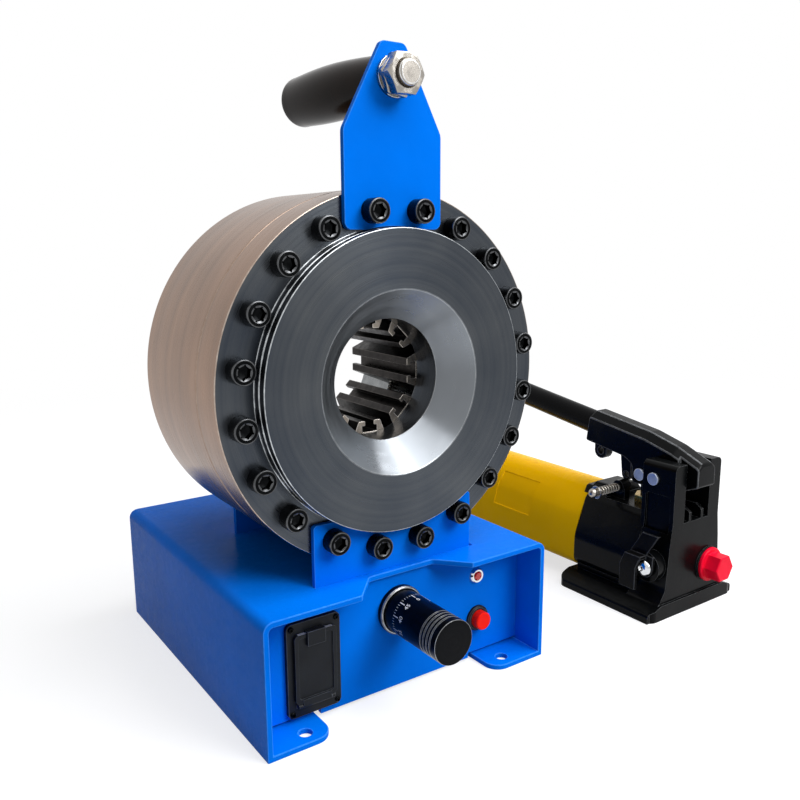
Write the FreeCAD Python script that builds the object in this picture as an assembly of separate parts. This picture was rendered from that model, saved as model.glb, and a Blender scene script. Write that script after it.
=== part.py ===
import FreeCAD, Part
import math
import os

# Hose crimping head on a sheet-metal base, with its hand pump beside it.
# Millimetres. X runs across the machine, the crimping axis runs along Y with
# the front towards -Y, and Z is up. The origin lies on the floor, in the
# centre of the four foot holes.

# Sheet base
base_width = 232.8
base_depth = 258.3
base_height = 92.6
base_sheet = 4.0
base_bend = 7.0
foot_tab_width = 48.0
foot_tab_length = 62.0
foot_tab_corner = 12.0
foot_hole_radius = 4.5
foot_hole_inset_x = 31.9
foot_hole_inset_y = 11.1
notch_width_front = 94.0
notch_width_back = 53.0
notch_depth = 22.1
notch_corner = 4.0
panel_setback = 26.1
panel_floor_gap = 2.2
saddle_slot_extra = 3.0

# Crimping head
head_gap = 4.0
ring_face_setback = 31.6
ring_radius = 126.5
ring_thickness = 29.0
ring_chamfer = 1.6
boss_radius = 101.1
boss_height = 13.5
boss_chamfer = 1.0
boss_groove_width = 1.2
boss_groove_depth = 0.8
boss_groove_setback = 6.4
lead_in_radius = 61.9
lead_in_depth = 19.7
bore_radius = 41.3
barrel_length = 92.0
barrel_bore_radius = 104.0
barrel_rear_wall = 16.0
seam_groove_width = 1.2
seam_groove_depth = 0.6

# Head screws
screw_circle_radius = 112.5
screw_count = 20
screw_radius = 5.0
screw_head_radius = 8.0
screw_head_height = 10.0
screw_socket_flats = 8.0
screw_socket_depth = 5.0
screw_engagement = 24.0
screw_hole_clearance = 0.4
thread_clearance = 0.1
handle_plate_screws = 2
saddle_plate_screws = 4

# Plates on the head
plate_thickness = 4.0
plate_boss_clearance = 0.5
handle_plate_width = 75.0
handle_plate_low_rise = 99.4
handle_plate_shoulder_rise = 159.9
handle_plate_top_margin = 20.6
handle_plate_top_width = 18.0
handle_plate_shoulder_corner = 9.0
handle_plate_corner = 5.0
saddle_width = 130.8
saddle_rise = 42.4
saddle_corner = 3.0

# Carry grip
grip_rise = 192.9
grip_bolt_radius = 8.0
grip_bolt_clearance = 0.06
grip_length = 115.0
grip_neck_radius = 14.0
grip_radius = 18.6
grip_shoulder_radius = 17.6
grip_end_radius = 14.6
grip_end_bevel = 5.0
grip_swell_place = 0.62
grip_seat_gap = 0.3
grip_counterbore_radius = 12.6
grip_counterbore_depth = 13.0
bolt_head_radius = 11.5
bolt_head_height = 9.0
washer_radius = 14.5
washer_thickness = 2.6
nut_flats = 24.0
nut_height = 12.6
nut_edge_break = 1.2
stud_projection = 4.0

# Jaws and ram
jaw_count = 8
jaw_open_apothem = 32.6
jaw_travel = 10.0
jaw_gap_open = 8.0
jaw_length = 75.0
jaw_back_apothem = 95.0
jaw_face_clearance = 0.1
jaw_slot_throat = 7.0
jaw_slot_width = 12.0
jaw_lip_thickness = 3.6
jaw_slot_depth = 8.0
ram_stroke = 26.0
ram_front_clearance = 1.0
ram_rear_clearance = 0.5
ram_running_clearance = 0.05
ram_tube_radius = 88.0
ram_tube_bore_radius = 78.0
ram_tube_projection = 33.0
ram_tube_chamfer = 1.5
seal_width = 5.0
seal_depth = 3.0
seal_setback = 12.0
jaw_spring_radius = 4.2
jaw_spring_pocket_clearance = 0.3
jaw_spring_seat_depth = 8.0
jaw_spring_circle = 50.0
jaw_spring_end_clearance = 0.5

# Hydraulic inlet at the back of the head
inlet_angle = 130.0
inlet_tube_gap = 2.4
inlet_port_radius = 6.0
inlet_coupler_flats = 27.0
inlet_coupler_hex_length = 14.0
inlet_coupler_collar_radius = 12.0
inlet_coupler_collar_length = 16.0
inlet_coupler_bore_radius = 8.3
inlet_coupler_bore_length = 14.0
inlet_oilway_radius = 3.0

# Travel feeler and dial works in the base
feeler_width = 12.0
feeler_thickness = 4.0
feeler_overlap = 8.0
feeler_finger_length = 38.0
feeler_slot_clearance = 3.0
feeler_switch_clearance = 0.5
feeler_screw_radius = 2.5
feeler_screw_head_radius = 4.3
feeler_screw_head_height = 3.4
feeler_screw_depth = 9.0

# Dial
dial_height = 61.0
dial_ring_radius = 17.7
dial_ring_length = 5.0
dial_drum_radius = 15.5
dial_drum_length = 56.7
dial_drum_gap = 0.3
dial_drum_front_chamfer = 1.2
dial_groove_count = 4
dial_groove_pitch = 3.4
dial_groove_width = 1.1
dial_groove_depth = 0.9
dial_groove_setback = 5.0
dial_drum_bore_radius = 10.0
dial_drum_face_thickness = 6.0
dial_bush_radius = 9.0
dial_bush_length = 24.0
dial_nut_radius = 13.0
dial_nut_length = 6.0
dial_spindle_radius = 4.0
dial_spindle_clearance = 0.06
dial_spindle_front = 30.0
dial_spindle_length = 142.0
dial_spindle_travel = 20.0
switch_length = 20.0
switch_width = 6.4
switch_height = 10.0
switch_base_length = 26.0
switch_base_width = 12.0

# Battery box
battery_box_inset = 46.3
battery_box_centre_z = 41.3
battery_box_width = 40.0
battery_box_height = 66.5
battery_box_flange = 3.5
battery_box_corner = 4.0
battery_box_body_width = 32.0
battery_box_body_height = 57.0
battery_box_body_depth = 24.0
battery_box_wall = 2.0
battery_lid_width = 31.0
battery_lid_height = 52.0
battery_lid_thickness = 2.6
battery_lid_recess = 1.2
battery_lid_rim = 2.6
battery_lid_corner = 3.0
battery_lid_gap = 0.3
battery_lid_barrel_radius = 1.6
battery_lid_barrel_length = 21.0
battery_hinge_pin_clearance = 0.05
battery_hinge_lug = 3.0
battery_hinge_pin_radius = 0.8
battery_latch_width = 13.0
battery_latch_height = 6.0
battery_latch_proud = 1.4
battery_width = 26.5
battery_height = 48.5
battery_thickness = 17.5
battery_screw_inset = 3.2
battery_screw_head_radius = 2.0
battery_screw_head_height = 1.2
battery_screw_radius = 1.2
battery_screw_length = 9.0

# Lamp and push button
lamp_inset = 45.4
lamp_z = 68.0
lamp_bezel_radius = 6.3
lamp_bezel_height = 2.4
lamp_body_radius = 4.0
lamp_lens_radius = 3.4
lamp_lens_height = 3.6
lamp_body_depth = 14.0
button_inset = 44.4
button_z = 33.5
button_bezel_radius = 10.0
button_bezel_height = 3.0
button_body_radius = 7.9
button_body_depth = 24.0
button_cap_radius = 6.9
button_cap_height = 6.0
button_cap_clearance = 0.06
button_cap_depth = 9.0
button_travel = 2.5
panel_nut_radius = 11.0
panel_nut_thickness = 3.0

# Hand pump, measured from its own front face and centre plane
pump_centre_x = 280.5
pump_lead = 15.4
pump_foot_width = 116.0
pump_foot_front = -2.3
pump_foot_length = 105.0
pump_foot_edge = 7.0
pump_foot_height = 13.0
pump_foot_corner = 9.0
pump_waist_width = 67.0
pump_waist_height = 60.0
pump_hip_width = 73.0
pump_hip_height = 24.0
pump_tower_width = 62.0
pump_tower_depth = 33.0
pump_tower_top = 131.0
pump_tower_corner = 5.0
pump_slot_width = 33.0
pump_window_floor = 80.0
pump_ledge_height = 4.0
pump_ledge_front = 8.0
pump_ledge_run = 6.0
pump_ledge_width = 3.0
pump_ledge_spacing = 16.4
pump_deck_height = 84.0
pump_deck_end = 78.0
pump_block_end = 98.0
pump_block_lap = 3.0
pump_side_recess = 2.0
pump_recess_height = 40.0
pump_recess_centre = 84.0

# Reservoir section, shared by the block, the tank and the end cap
tank_low_width = 84.0
tank_shoulder_width = 58.0
tank_bottom = 16.0
tank_side_low = 22.0
tank_side_high = 46.0
tank_shoulder_height = 80.0
tank_top = 93.0
tank_corner = 8.0
tank_wall = 4.0
tank_step = 1.0
tank_length = 368.0
tank_spigot = 8.0
tank_spigot_clearance = 0.1
tank_panel_start = 44.0
tank_panel_length = 54.0
tank_panel_height = 31.0
tank_panel_depth = 0.7
tank_panel_corner = 3.0
cap_length = 14.0
cap_foot_width = 76.0
cap_foot_height = 9.0
filler_x = 0.0
filler_z = 70.0
filler_radius = 9.0
filler_length = 9.0
filler_flats = 17.0
filler_neck_radius = 6.0
filler_neck_length = 8.0

# Pump handle
fulcrum_y = 21.5
fulcrum_z = 116.5
fulcrum_pin_radius = 4.0
fulcrum_pin_clearance = 0.05
pin_head_radius = 5.4
pin_head_height = 2.4
pin_tail = 1.2
link_offset_y = 27.5
link_drop = 5.5
link_pin_radius = 4.0
handle_width = 29.0
handle_cheek = 5.5
handle_tube_radius = 11.0
handle_tube_wall = 2.0
handle_tube_clearance = 0.1
handle_tube_rise = 8.1
handle_tube_offset = 14.3
handle_tube_start = 62.0
handle_tube_length = 440.0
handle_socket_length = 93.0
handle_socket_wall = 3.4
handle_nose = 29.0
handle_top_width = 12.0
handle_top_slope = 6.0
handle_nose_width = 23.0
handle_nose_step = 18.0
handle_down_angle = 10.0
handle_up_angle = 35.0
tube_plug_length = 12.0
tube_plug_rim = 3.0
lug_distance = 82.0
lug_radius = 7.5
lug_hole_radius = 3.2
lug_thickness = 9.0
lug_axis_drop = 8.5

# Plunger
plunger_radius = 8.0
plunger_clearance = 0.05
plunger_depth = 50.0
plunger_head_width = 16.0
plunger_head_length = 21.0
plunger_head_drop = 10.0
plunger_head_rise = 8.0
plunger_slot_side = 2.4
plunger_slot_clearance = 0.35
gland_radius = 14.0
gland_height = 6.0
gland_flats = 24.0

# Handle lock
lock_y = 70.0
lock_z = 95.0
lock_pin_radius = 2.5
lock_pin_clearance = 0.06
lock_boss_radius = 6.0
lock_boss_length = 11.0
lock_boss_gap = 3.0
lock_travel = 12.0
lock_ball_radius = 4.2
lock_ball_steps = 6
lock_washer_radius = 5.6
lock_washer_thickness = 1.4
lock_spring_wire = 0.9
lock_spring_turns = 8
lock_spring_sides = 10
lock_spring_play = 0.25
lock_spring_length = 28.0
lock_ear_radius = 5.5
lock_ear_width = 8.0
lock_arm_thickness = 7.0

# Release lever
release_y = 15.0
release_z = 43.0
release_spindle_radius = 5.0
release_spindle_clearance = 0.05
release_boss_radius = 13.0
release_boss_height = 1.6
release_plate = 3.0
release_hub_radius = 8.5
release_wing_width = 16.5
release_wing_up = 30.5
release_wing_lean = 11.5
release_fold_up = 11.3
release_fold_shift = 6.5
release_step = 7.8
release_low_shift = 11.0
release_wing_down = 19.5
release_screw_radius = 7.5
release_screw_height = 4.0
release_screw_shank = 2.6
release_depth = 24.0

# Outlet plug
outlet_x = 20.0
outlet_z = 36.0
outlet_boss_radius = 15.5
plug_flange_radius = 15.0
plug_flange_thickness = 3.4
plug_hex_flats = 21.0
plug_hex_length = 13.0
plug_shank_radius = 7.6
plug_shank_length = 12.0
plug_shank_clearance = 0.1

# Worked-out places
head_axis_height = base_height + head_gap + ring_radius
handle_plate_bottom = head_axis_height + handle_plate_low_rise
handle_plate_shoulder = head_axis_height + handle_plate_shoulder_rise
grip_axis_height = head_axis_height + grip_rise
handle_plate_top = grip_axis_height + handle_plate_top_margin
saddle_top = base_height + saddle_rise
battery_box_centre_x = battery_box_inset - base_width / 2
lamp_x = base_width / 2 - lamp_inset
button_x = base_width / 2 - button_inset
front_edge = -base_depth / 2
rear_edge = base_depth / 2
top_under = base_height - base_sheet
ring_face = front_edge + ring_face_setback
boss_face = ring_face - boss_height
jaw_plane = ring_face + ring_thickness
barrel_rear = jaw_plane + barrel_length
barrel_floor = barrel_rear - barrel_rear_wall
jaw_front = jaw_plane + jaw_face_clearance
jaw_rear = jaw_front + jaw_length
cone_slope = jaw_travel / ram_stroke
cone_tilt = math.sqrt(1 + cone_slope * cone_slope)
jaw_half_angle = 180.0 / jaw_count
ram_front = jaw_plane + ram_stroke + ram_front_clearance
ram_shoulder = barrel_floor - ram_rear_clearance
ram_tube_end = barrel_rear + ram_tube_projection
panel_face = front_edge + panel_setback
panel_back = panel_face + base_sheet
foot_x = base_width / 2 - foot_hole_inset_x
foot_y = base_depth / 2 - foot_hole_inset_y
pump_front = front_edge - pump_lead
tank_front = pump_front + pump_block_end
tank_rear = tank_front + tank_length
fulcrum = (pump_front + fulcrum_y, fulcrum_z)


# Basic shapes
def block(x0, x1, y0, y1, z0, z1):
    corner = FreeCAD.Vector(x0, y0, z0)
    return Part.makeBox(x1 - x0, y1 - y0, z1 - z0, corner)


def centred_block(x, width, y0, y1, z0, z1):
    return block(x - width / 2, x + width / 2, y0, y1, z0, z1)


def rod(axis, radius, start, end, first, second):
    places = {
        "x": (FreeCAD.Vector(start, first, second), FreeCAD.Vector(1, 0, 0)),
        "y": (FreeCAD.Vector(first, start, second), FreeCAD.Vector(0, 1, 0)),
        "z": (FreeCAD.Vector(first, second, start), FreeCAD.Vector(0, 0, 1)),
    }
    place, direction = places[axis]
    return Part.makeCylinder(radius, end - start, place, direction)


def tube(axis, outer, inner, start, end, first, second):
    hollow = rod(axis, inner, start, end, first, second)
    return rod(axis, outer, start, end, first, second).cut(hollow)


def point_on(axis, level, u, v):
    if axis == "x":
        return FreeCAD.Vector(level, u, v)
    if axis == "y":
        return FreeCAD.Vector(u, level, v)
    return FreeCAD.Vector(u, v, level)


def rounded_outline(corners):
    # Each corner is (u, v) or (u, v, radius). Gives edges as point triples.
    pieces = []
    count = len(corners)
    for index in range(count):
        here = corners[index]
        before = corners[index - 1]
        after = corners[(index + 1) % count]
        radius = here[2] if len(here) > 2 else 0
        if radius == 0:
            pieces.append([(here[0], here[1])])
            continue
        back = (before[0] - here[0], before[1] - here[1])
        ahead = (after[0] - here[0], after[1] - here[1])
        back_length = math.hypot(*back)
        ahead_length = math.hypot(*ahead)
        back = (back[0] / back_length, back[1] / back_length)
        ahead = (ahead[0] / ahead_length, ahead[1] / ahead_length)
        cosine = back[0] * ahead[0] + back[1] * ahead[1]
        half = math.acos(max(-1.0, min(1.0, cosine))) / 2
        reach = radius / math.tan(half)
        middle = (back[0] + ahead[0], back[1] + ahead[1])
        middle_length = math.hypot(*middle)
        sag = radius / math.sin(half) - radius
        start = (here[0] + back[0] * reach, here[1] + back[1] * reach)
        end = (here[0] + ahead[0] * reach, here[1] + ahead[1] * reach)
        bulge = (here[0] + middle[0] / middle_length * sag, here[1] + middle[1] / middle_length * sag)
        pieces.append([start, bulge, end])
    return pieces


def outline_face(axis, level, corners):
    pieces = rounded_outline(corners)
    edges = []
    for index, piece in enumerate(pieces):
        points = [point_on(axis, level, *pair) for pair in piece]
        if len(points) == 3:
            edges.append(Part.Arc(*points).toShape())
        following = pieces[(index + 1) % len(pieces)][0]
        start = points[-1]
        end = point_on(axis, level, *following)
        if start.distanceToPoint(end) > 1e-6:
            edges.append(Part.makeLine(start, end))
    return Part.Face(Part.Wire(edges))


def prism(axis, corners, start, end):
    travel = point_on(axis, end - start, 0, 0)
    return outline_face(axis, start, corners).extrude(travel)


def turned(profile, x, z):
    # Profile points are (radius, y), swept round an axis along Y.
    points = [FreeCAD.Vector(radius, y, 0) for radius, y in profile]
    points.append(points[0])
    face = Part.Face(Part.makePolygon(points))
    solid = face.revolve(FreeCAD.Vector(0, 0, 0), FreeCAD.Vector(0, 1, 0), 360)
    solid.translate(FreeCAD.Vector(x, 0, z))
    return solid


def turned_about_x(profile, y, z):
    # Profile points are (x, radius), swept round an axis along X.
    points = [FreeCAD.Vector(x, radius, 0) for x, radius in profile]
    points.append(points[0])
    face = Part.Face(Part.makePolygon(points))
    solid = face.revolve(FreeCAD.Vector(0, 0, 0), FreeCAD.Vector(1, 0, 0), 360)
    solid.translate(FreeCAD.Vector(0, y, z))
    return solid


def hexagon(axis, flats, start, end, first, second):
    radius = flats / math.sqrt(3)
    corners = []
    for index in range(6):
        angle = math.radians(60 * index)
        corners.append((first + radius * math.sin(angle), second + radius * math.cos(angle)))
    return prism(axis, corners, start, end)


def rounded_box(axis, width, height, radius, start, end, first, second):
    half_width = width / 2
    half_height = height / 2
    corners = [
        (first - half_width, second - half_height, radius),
        (first + half_width, second - half_height, radius),
        (first + half_width, second + half_height, radius),
        (first - half_width, second + half_height, radius),
    ]
    return prism(axis, corners, start, end)


def mirrored(shape, x=0.0):
    return shape.mirror(FreeCAD.Vector(x, 0, 0), FreeCAD.Vector(1, 0, 0))


def turn_about_head(shape, angle):
    # Clockwise from the top, seen from the front.
    turned_shape = shape.copy()
    centre = FreeCAD.Vector(0, 0, head_axis_height)
    turned_shape.rotate(centre, FreeCAD.Vector(0, 1, 0), angle)
    return turned_shape


def joined(shapes):
    result = shapes[0]
    if len(shapes) > 1:
        result = shapes[0].fuse(shapes[1:])
    return result.removeSplitter()


def export(name, shape):
    shape.exportStep("parts/" + name + ".step")


# Screw places on the head, as angles clockwise from the top
def screw_angles():
    pitch = 360.0 / screw_count
    return [pitch / 2 + pitch * index for index in range(screw_count)]


def nearest_angles(direction, count):
    def distance(angle):
        return abs((angle - direction + 180) % 360 - 180)
    return sorted(screw_angles(), key=distance)[:count]


def handle_angles():
    return nearest_angles(0, handle_plate_screws)


def saddle_angles():
    return nearest_angles(180, saddle_plate_screws)


def ring_angles():
    taken = handle_angles() + saddle_angles()
    return [angle for angle in screw_angles() if angle not in taken]


def on_screw_circle(shape, angle):
    raised = shape.copy()
    raised.translate(FreeCAD.Vector(0, 0, head_axis_height + screw_circle_radius))
    return turn_about_head(raised, angle)


def head_holes(radius, start, end, angles):
    drill = rod("y", radius, start, end, 0, 0)
    return [on_screw_circle(drill, angle) for angle in angles]


def cap_screw(seat, facing, shank_end):
    # A socket-head screw along Y whose head stands on the seat plane.
    head_end = seat + facing * screw_head_height
    body = turned([
        (0, shank_end),
        (screw_radius, shank_end),
        (screw_radius, seat),
        (screw_head_radius, seat),
        (screw_head_radius, head_end),
        (0, head_end),
    ], 0, 0)
    socket_end = head_end - facing * screw_socket_depth
    socket = hexagon("y", screw_socket_flats, min(head_end, socket_end), max(head_end, socket_end), 0, 0)
    return body.cut(socket)


# Base
def base_frame():
    half = base_width / 2
    inner = half - base_sheet
    outer = [(-half, 0), (half, 0), (half, base_height, base_bend), (-half, base_height, base_bend)]
    inner_bend = base_bend - base_sheet
    hollow = [(-inner, -1), (inner, -1), (inner, top_under, inner_bend), (-inner, top_under, inner_bend)]
    shell = prism("y", outer, front_edge, rear_edge)
    shell = shell.cut(prism("y", hollow, front_edge - 1, rear_edge + 1))
    tabs = []
    for end, direction in ((front_edge, 1), (rear_edge, -1)):
        far = end + direction * foot_tab_length
        tab = [
            (half, end),
            (half, far),
            (half - foot_tab_width, far, foot_tab_corner),
            (half - foot_tab_width, end, foot_tab_corner),
        ]
        plate = prism("z", tab, 0, base_sheet)
        plate = plate.cut(rod("z", foot_hole_radius, 0, base_sheet, foot_x, math.copysign(foot_y, end)))
        tabs.append(plate)
        tabs.append(mirrored(plate))
    shell = joined([shell] + tabs)
    notch = [
        (-notch_width_front / 2, front_edge - 1),
        (-notch_width_back / 2, front_edge + notch_depth, notch_corner),
        (notch_width_back / 2, front_edge + notch_depth, notch_corner),
        (notch_width_front / 2, front_edge - 1),
    ]
    shell = shell.cut(prism("z", notch, top_under - 1, base_height + 1))
    slots = []
    for near, far in (saddle_span(-1), saddle_span(1)):
        slot_half = saddle_width / 2 + saddle_slot_extra
        slots.append(block(-saddle_width / 2, slot_half, near, far, top_under - 1, base_height + 1))
    feeler_half = feeler_width / 2 + feeler_slot_clearance
    feeler_start = ram_tube_end - ram_stroke - feeler_slot_clearance
    feeler_end = ram_tube_end + feeler_thickness + feeler_slot_clearance
    slots.append(block(-feeler_half, feeler_half, feeler_start, feeler_end, top_under - 1, base_height + 1))
    return shell.cut(slots)


def saddle_span(side):
    if side < 0:
        return ring_face - plate_thickness, ring_face
    return barrel_rear, barrel_rear + plate_thickness


def panel_blank(near, far):
    inner = base_width / 2 - base_sheet
    corner = base_bend - base_sheet
    sheet = prism("y", [
        (-inner, panel_floor_gap + base_sheet),
        (-inner + foot_tab_width, panel_floor_gap + base_sheet),
        (-inner + foot_tab_width, panel_floor_gap),
        (inner - foot_tab_width, panel_floor_gap),
        (inner - foot_tab_width, panel_floor_gap + base_sheet),
        (inner, panel_floor_gap + base_sheet),
        (inner, top_under, corner),
        (-inner, top_under, corner),
    ], near, far)
    return sheet


def front_panel():
    near = panel_face
    far = panel_back
    sheet = panel_blank(near, far)
    openings = [
        centred_block(
            battery_box_centre_x, battery_box_body_width, near, far,
            battery_box_centre_z - battery_box_body_height / 2,
            battery_box_centre_z + battery_box_body_height / 2),
        rod("y", dial_bush_radius + thread_clearance, near, far, 0, dial_height),
        rod("y", lamp_body_radius + thread_clearance, near, far, lamp_x, lamp_z),
        rod("y", button_body_radius + thread_clearance, near, far, button_x, button_z),
    ]
    for x, z in battery_screw_places():
        openings.append(rod("y", battery_screw_radius + thread_clearance, near, far, x, z))
    return sheet.cut(openings)


def rear_panel():
    return panel_blank(-panel_back, -panel_face)


def saddle_plate(side):
    near, far = saddle_span(side)
    half = saddle_width / 2
    plate = prism("y", [
        (-half, top_under),
        (half, top_under),
        (half, saddle_top, saddle_corner),
        (-half, saddle_top, saddle_corner),
    ], near, far)
    clear = boss_radius if side < 0 else ram_tube_radius + ram_running_clearance
    round_cut = rod("y", clear + plate_boss_clearance, near, far, 0, head_axis_height)
    holes = head_holes(screw_radius + screw_hole_clearance, near, far, saddle_angles())
    return plate.cut([round_cut] + holes)


def front_saddle_plate():
    return saddle_plate(-1)


def rear_saddle_plate():
    return saddle_plate(1)


def handle_plate():
    near = ring_face - plate_thickness
    half = handle_plate_width / 2
    top = handle_plate_top_width / 2
    plate = prism("y", [
        (-half, handle_plate_bottom, handle_plate_corner),
        (half, handle_plate_bottom, handle_plate_corner),
        (half, handle_plate_shoulder, handle_plate_shoulder_corner),
        (top, handle_plate_top, handle_plate_corner),
        (-top, handle_plate_top, handle_plate_corner),
        (-half, handle_plate_shoulder, handle_plate_shoulder_corner),
    ], near, ring_face)
    round_cut = rod("y", boss_radius + plate_boss_clearance, near, ring_face, 0, head_axis_height)
    holes = head_holes(screw_radius + screw_hole_clearance, near, ring_face, handle_angles())
    holes.append(rod("y", grip_bolt_radius + screw_hole_clearance, near, ring_face, 0, grip_axis_height))
    return plate.cut([round_cut] + holes)


# Crimping head
def front_flange():
    groove_front = boss_face + boss_groove_setback
    groove_back = groove_front + boss_groove_width
    profile = [
        (bore_radius, jaw_plane),
        (bore_radius, boss_face + lead_in_depth),
        (lead_in_radius, boss_face),
        (boss_radius - boss_chamfer, boss_face),
        (boss_radius, boss_face + boss_chamfer),
        (boss_radius, groove_front),
        (boss_radius - boss_groove_depth, groove_front),
        (boss_radius - boss_groove_depth, groove_back),
        (boss_radius, groove_back),
        (boss_radius, ring_face),
        (ring_radius - ring_chamfer, ring_face),
        (ring_radius, ring_face + ring_chamfer),
        (ring_radius, jaw_plane - seam_groove_width),
        (ring_radius - seam_groove_depth, jaw_plane),
    ]
    flange = turned(profile, 0, head_axis_height)
    holes = head_holes(screw_radius + screw_hole_clearance, ring_face, jaw_plane, screw_angles())
    return flange.cut(holes)


def cylinder_barrel():
    wall_bore = ram_tube_radius + ram_running_clearance
    seal_start = barrel_floor + (barrel_rear_wall - seal_width) / 2
    profile = [
        (barrel_bore_radius, jaw_plane),
        (ring_radius - seam_groove_depth, jaw_plane),
        (ring_radius, jaw_plane + seam_groove_width),
        (ring_radius, barrel_rear - ring_chamfer),
        (ring_radius - ring_chamfer, barrel_rear),
        (wall_bore, barrel_rear),
        (wall_bore, seal_start + seal_width),
        (wall_bore + seal_depth, seal_start + seal_width),
        (wall_bore + seal_depth, seal_start),
        (wall_bore, seal_start),
        (wall_bore, barrel_floor),
        (barrel_bore_radius, barrel_floor),
    ]
    barrel = turned(profile, 0, head_axis_height)
    drill_radius = screw_radius + thread_clearance
    holes = head_holes(drill_radius, jaw_plane, jaw_plane + screw_engagement, screw_angles())
    holes += head_holes(drill_radius, barrel_rear - screw_engagement, barrel_rear, saddle_angles())
    x, z = inlet_place()
    holes.append(rod("y", inlet_port_radius, barrel_floor, barrel_rear, x, z))
    return barrel.cut(holes)


def ring_screws():
    screw = cap_screw(ring_face, -1, jaw_plane + screw_engagement - 1)
    return Part.makeCompound([on_screw_circle(screw, angle) for angle in ring_angles()])


def plate_screws():
    seat = ring_face - plate_thickness
    screw = cap_screw(seat, -1, jaw_plane + screw_engagement - 1)
    screws = [on_screw_circle(screw, angle) for angle in handle_angles() + saddle_angles()]
    rear_seat = barrel_rear + plate_thickness
    rear_screw = cap_screw(rear_seat, 1, barrel_rear - screw_engagement + 1)
    screws += [on_screw_circle(rear_screw, angle) for angle in saddle_angles()]
    return Part.makeCompound(screws)


def rod_seal():
    inner = ram_tube_radius + ram_running_clearance
    start = barrel_floor + (barrel_rear_wall - seal_width) / 2
    return tube("y", inner + seal_depth, inner, start, start + seal_width, 0, head_axis_height)


# Ram with the eight-sided cone
def cone_apothem(y):
    return jaw_back_apothem - cone_slope * (y - jaw_plane)


def octagon_wire(y, apothem):
    radius = apothem / math.cos(math.radians(jaw_half_angle))
    points = []
    for index in range(jaw_count + 1):
        angle = math.radians(jaw_half_angle * (2 * index + 1))
        x = radius * math.sin(angle)
        z = head_axis_height + radius * math.cos(angle)
        points.append(FreeCAD.Vector(x, y, z))
    return Part.makePolygon(points)


def ram():
    outer = barrel_bore_radius - ram_running_clearance
    seal_end = ram_shoulder - seal_setback
    seal_start = seal_end - seal_width
    profile = [
        (0, ram_front),
        (outer - ram_tube_chamfer, ram_front),
        (outer, ram_front + ram_tube_chamfer),
        (outer, seal_start),
        (outer - seal_depth, seal_start),
        (outer - seal_depth, seal_end),
        (outer, seal_end),
        (outer, ram_shoulder),
        (0, ram_shoulder),
    ]
    body = turned(profile, 0, head_axis_height)
    margin = jaw_face_clearance * cone_tilt
    ends = (ram_front - 1, ram_shoulder + 1)
    wires = [octagon_wire(y, cone_apothem(y) + margin) for y in ends]
    return body.cut(Part.makeLoft(wires, True, True))


def ram_tube():
    profile = [
        (ram_tube_bore_radius, ram_shoulder),
        (ram_tube_radius, ram_shoulder),
        (ram_tube_radius, ram_tube_end - ram_tube_chamfer),
        (ram_tube_radius - ram_tube_chamfer, ram_tube_end),
        (ram_tube_bore_radius, ram_tube_end),
    ]
    sleeve = turned(profile, 0, head_axis_height)
    hole_start = ram_tube_end - feeler_screw_depth
    hole_radius = feeler_screw_radius + thread_clearance
    hole = rod("y", hole_radius, hole_start, ram_tube_end, 0, feeler_screw_height())
    return sleeve.cut(hole)


def ram_seal():
    outer = barrel_bore_radius - ram_running_clearance
    end = ram_shoulder - seal_setback
    return tube("y", outer, outer - seal_depth, end - seal_width, end, 0, head_axis_height)


# Jaws, shaped at the top of the circle and turned to their places
def jaw_half_width(height):
    half_angle = math.radians(jaw_half_angle)
    return height * math.tan(half_angle) - jaw_gap_open / 2 / math.cos(half_angle)


def side_place(side, radius):
    # A point on the plane between two jaws and the direction across it.
    half_angle = math.radians(jaw_half_angle)
    along = (side * math.sin(half_angle), math.cos(half_angle))
    across = (side * math.cos(half_angle), -math.sin(half_angle))
    point = (along[0] * radius, head_axis_height + along[1] * radius)
    return point, across


def side_rod(radius, side, inside, outside, y):
    point, across = side_place(side, jaw_spring_circle)
    start = FreeCAD.Vector(point[0] - across[0] * inside, y, point[1] - across[1] * inside)
    direction = FreeCAD.Vector(across[0], 0, across[1])
    return Part.makeCylinder(radius, inside + outside, start, direction)


def spring_place():
    return (jaw_front + jaw_rear) / 2


def jaw():
    low = jaw_open_apothem
    high = jaw_back_apothem
    axis = head_axis_height
    slice_outline = [
        (-jaw_half_width(low), axis + low),
        (jaw_half_width(low), axis + low),
        (jaw_half_width(high), axis + high),
        (-jaw_half_width(high), axis + high),
    ]
    piece = prism("y", slice_outline, jaw_front, jaw_rear)
    side_outline = [
        (jaw_front, axis + low),
        (jaw_rear, axis + low),
        (jaw_rear, axis + cone_apothem(jaw_rear)),
        (jaw_front, axis + cone_apothem(jaw_front)),
    ]
    reach = jaw_half_width(high) + 1
    piece = piece.common(prism("x", side_outline, -reach, reach))
    throat_top = axis + low + jaw_lip_thickness
    cuts = [
        centred_block(0, jaw_slot_throat, jaw_front, jaw_rear, axis + low, throat_top),
        centred_block(0, jaw_slot_width, jaw_front, jaw_rear, throat_top, axis + low + jaw_slot_depth),
    ]
    pocket_radius = jaw_spring_radius + jaw_spring_pocket_clearance
    edge = jaw_gap_open / 2
    deep = edge + jaw_spring_seat_depth + jaw_gap_open + jaw_spring_end_clearance
    cuts.append(side_rod(pocket_radius, 1, edge + jaw_spring_seat_depth, 0, spring_place()))
    cuts.append(side_rod(pocket_radius, -1, deep, 0, spring_place()))
    return piece.cut(cuts)


def jaw_spring():
    reach = jaw_gap_open / 2 + jaw_spring_seat_depth
    return side_rod(jaw_spring_radius, 1, reach, reach, spring_place())


# Hydraulic inlet
def inlet_place():
    radius = ram_tube_radius + inlet_tube_gap + inlet_coupler_flats / math.sqrt(3)
    angle = math.radians(inlet_angle)
    return radius * math.sin(angle), head_axis_height + radius * math.cos(angle)


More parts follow.
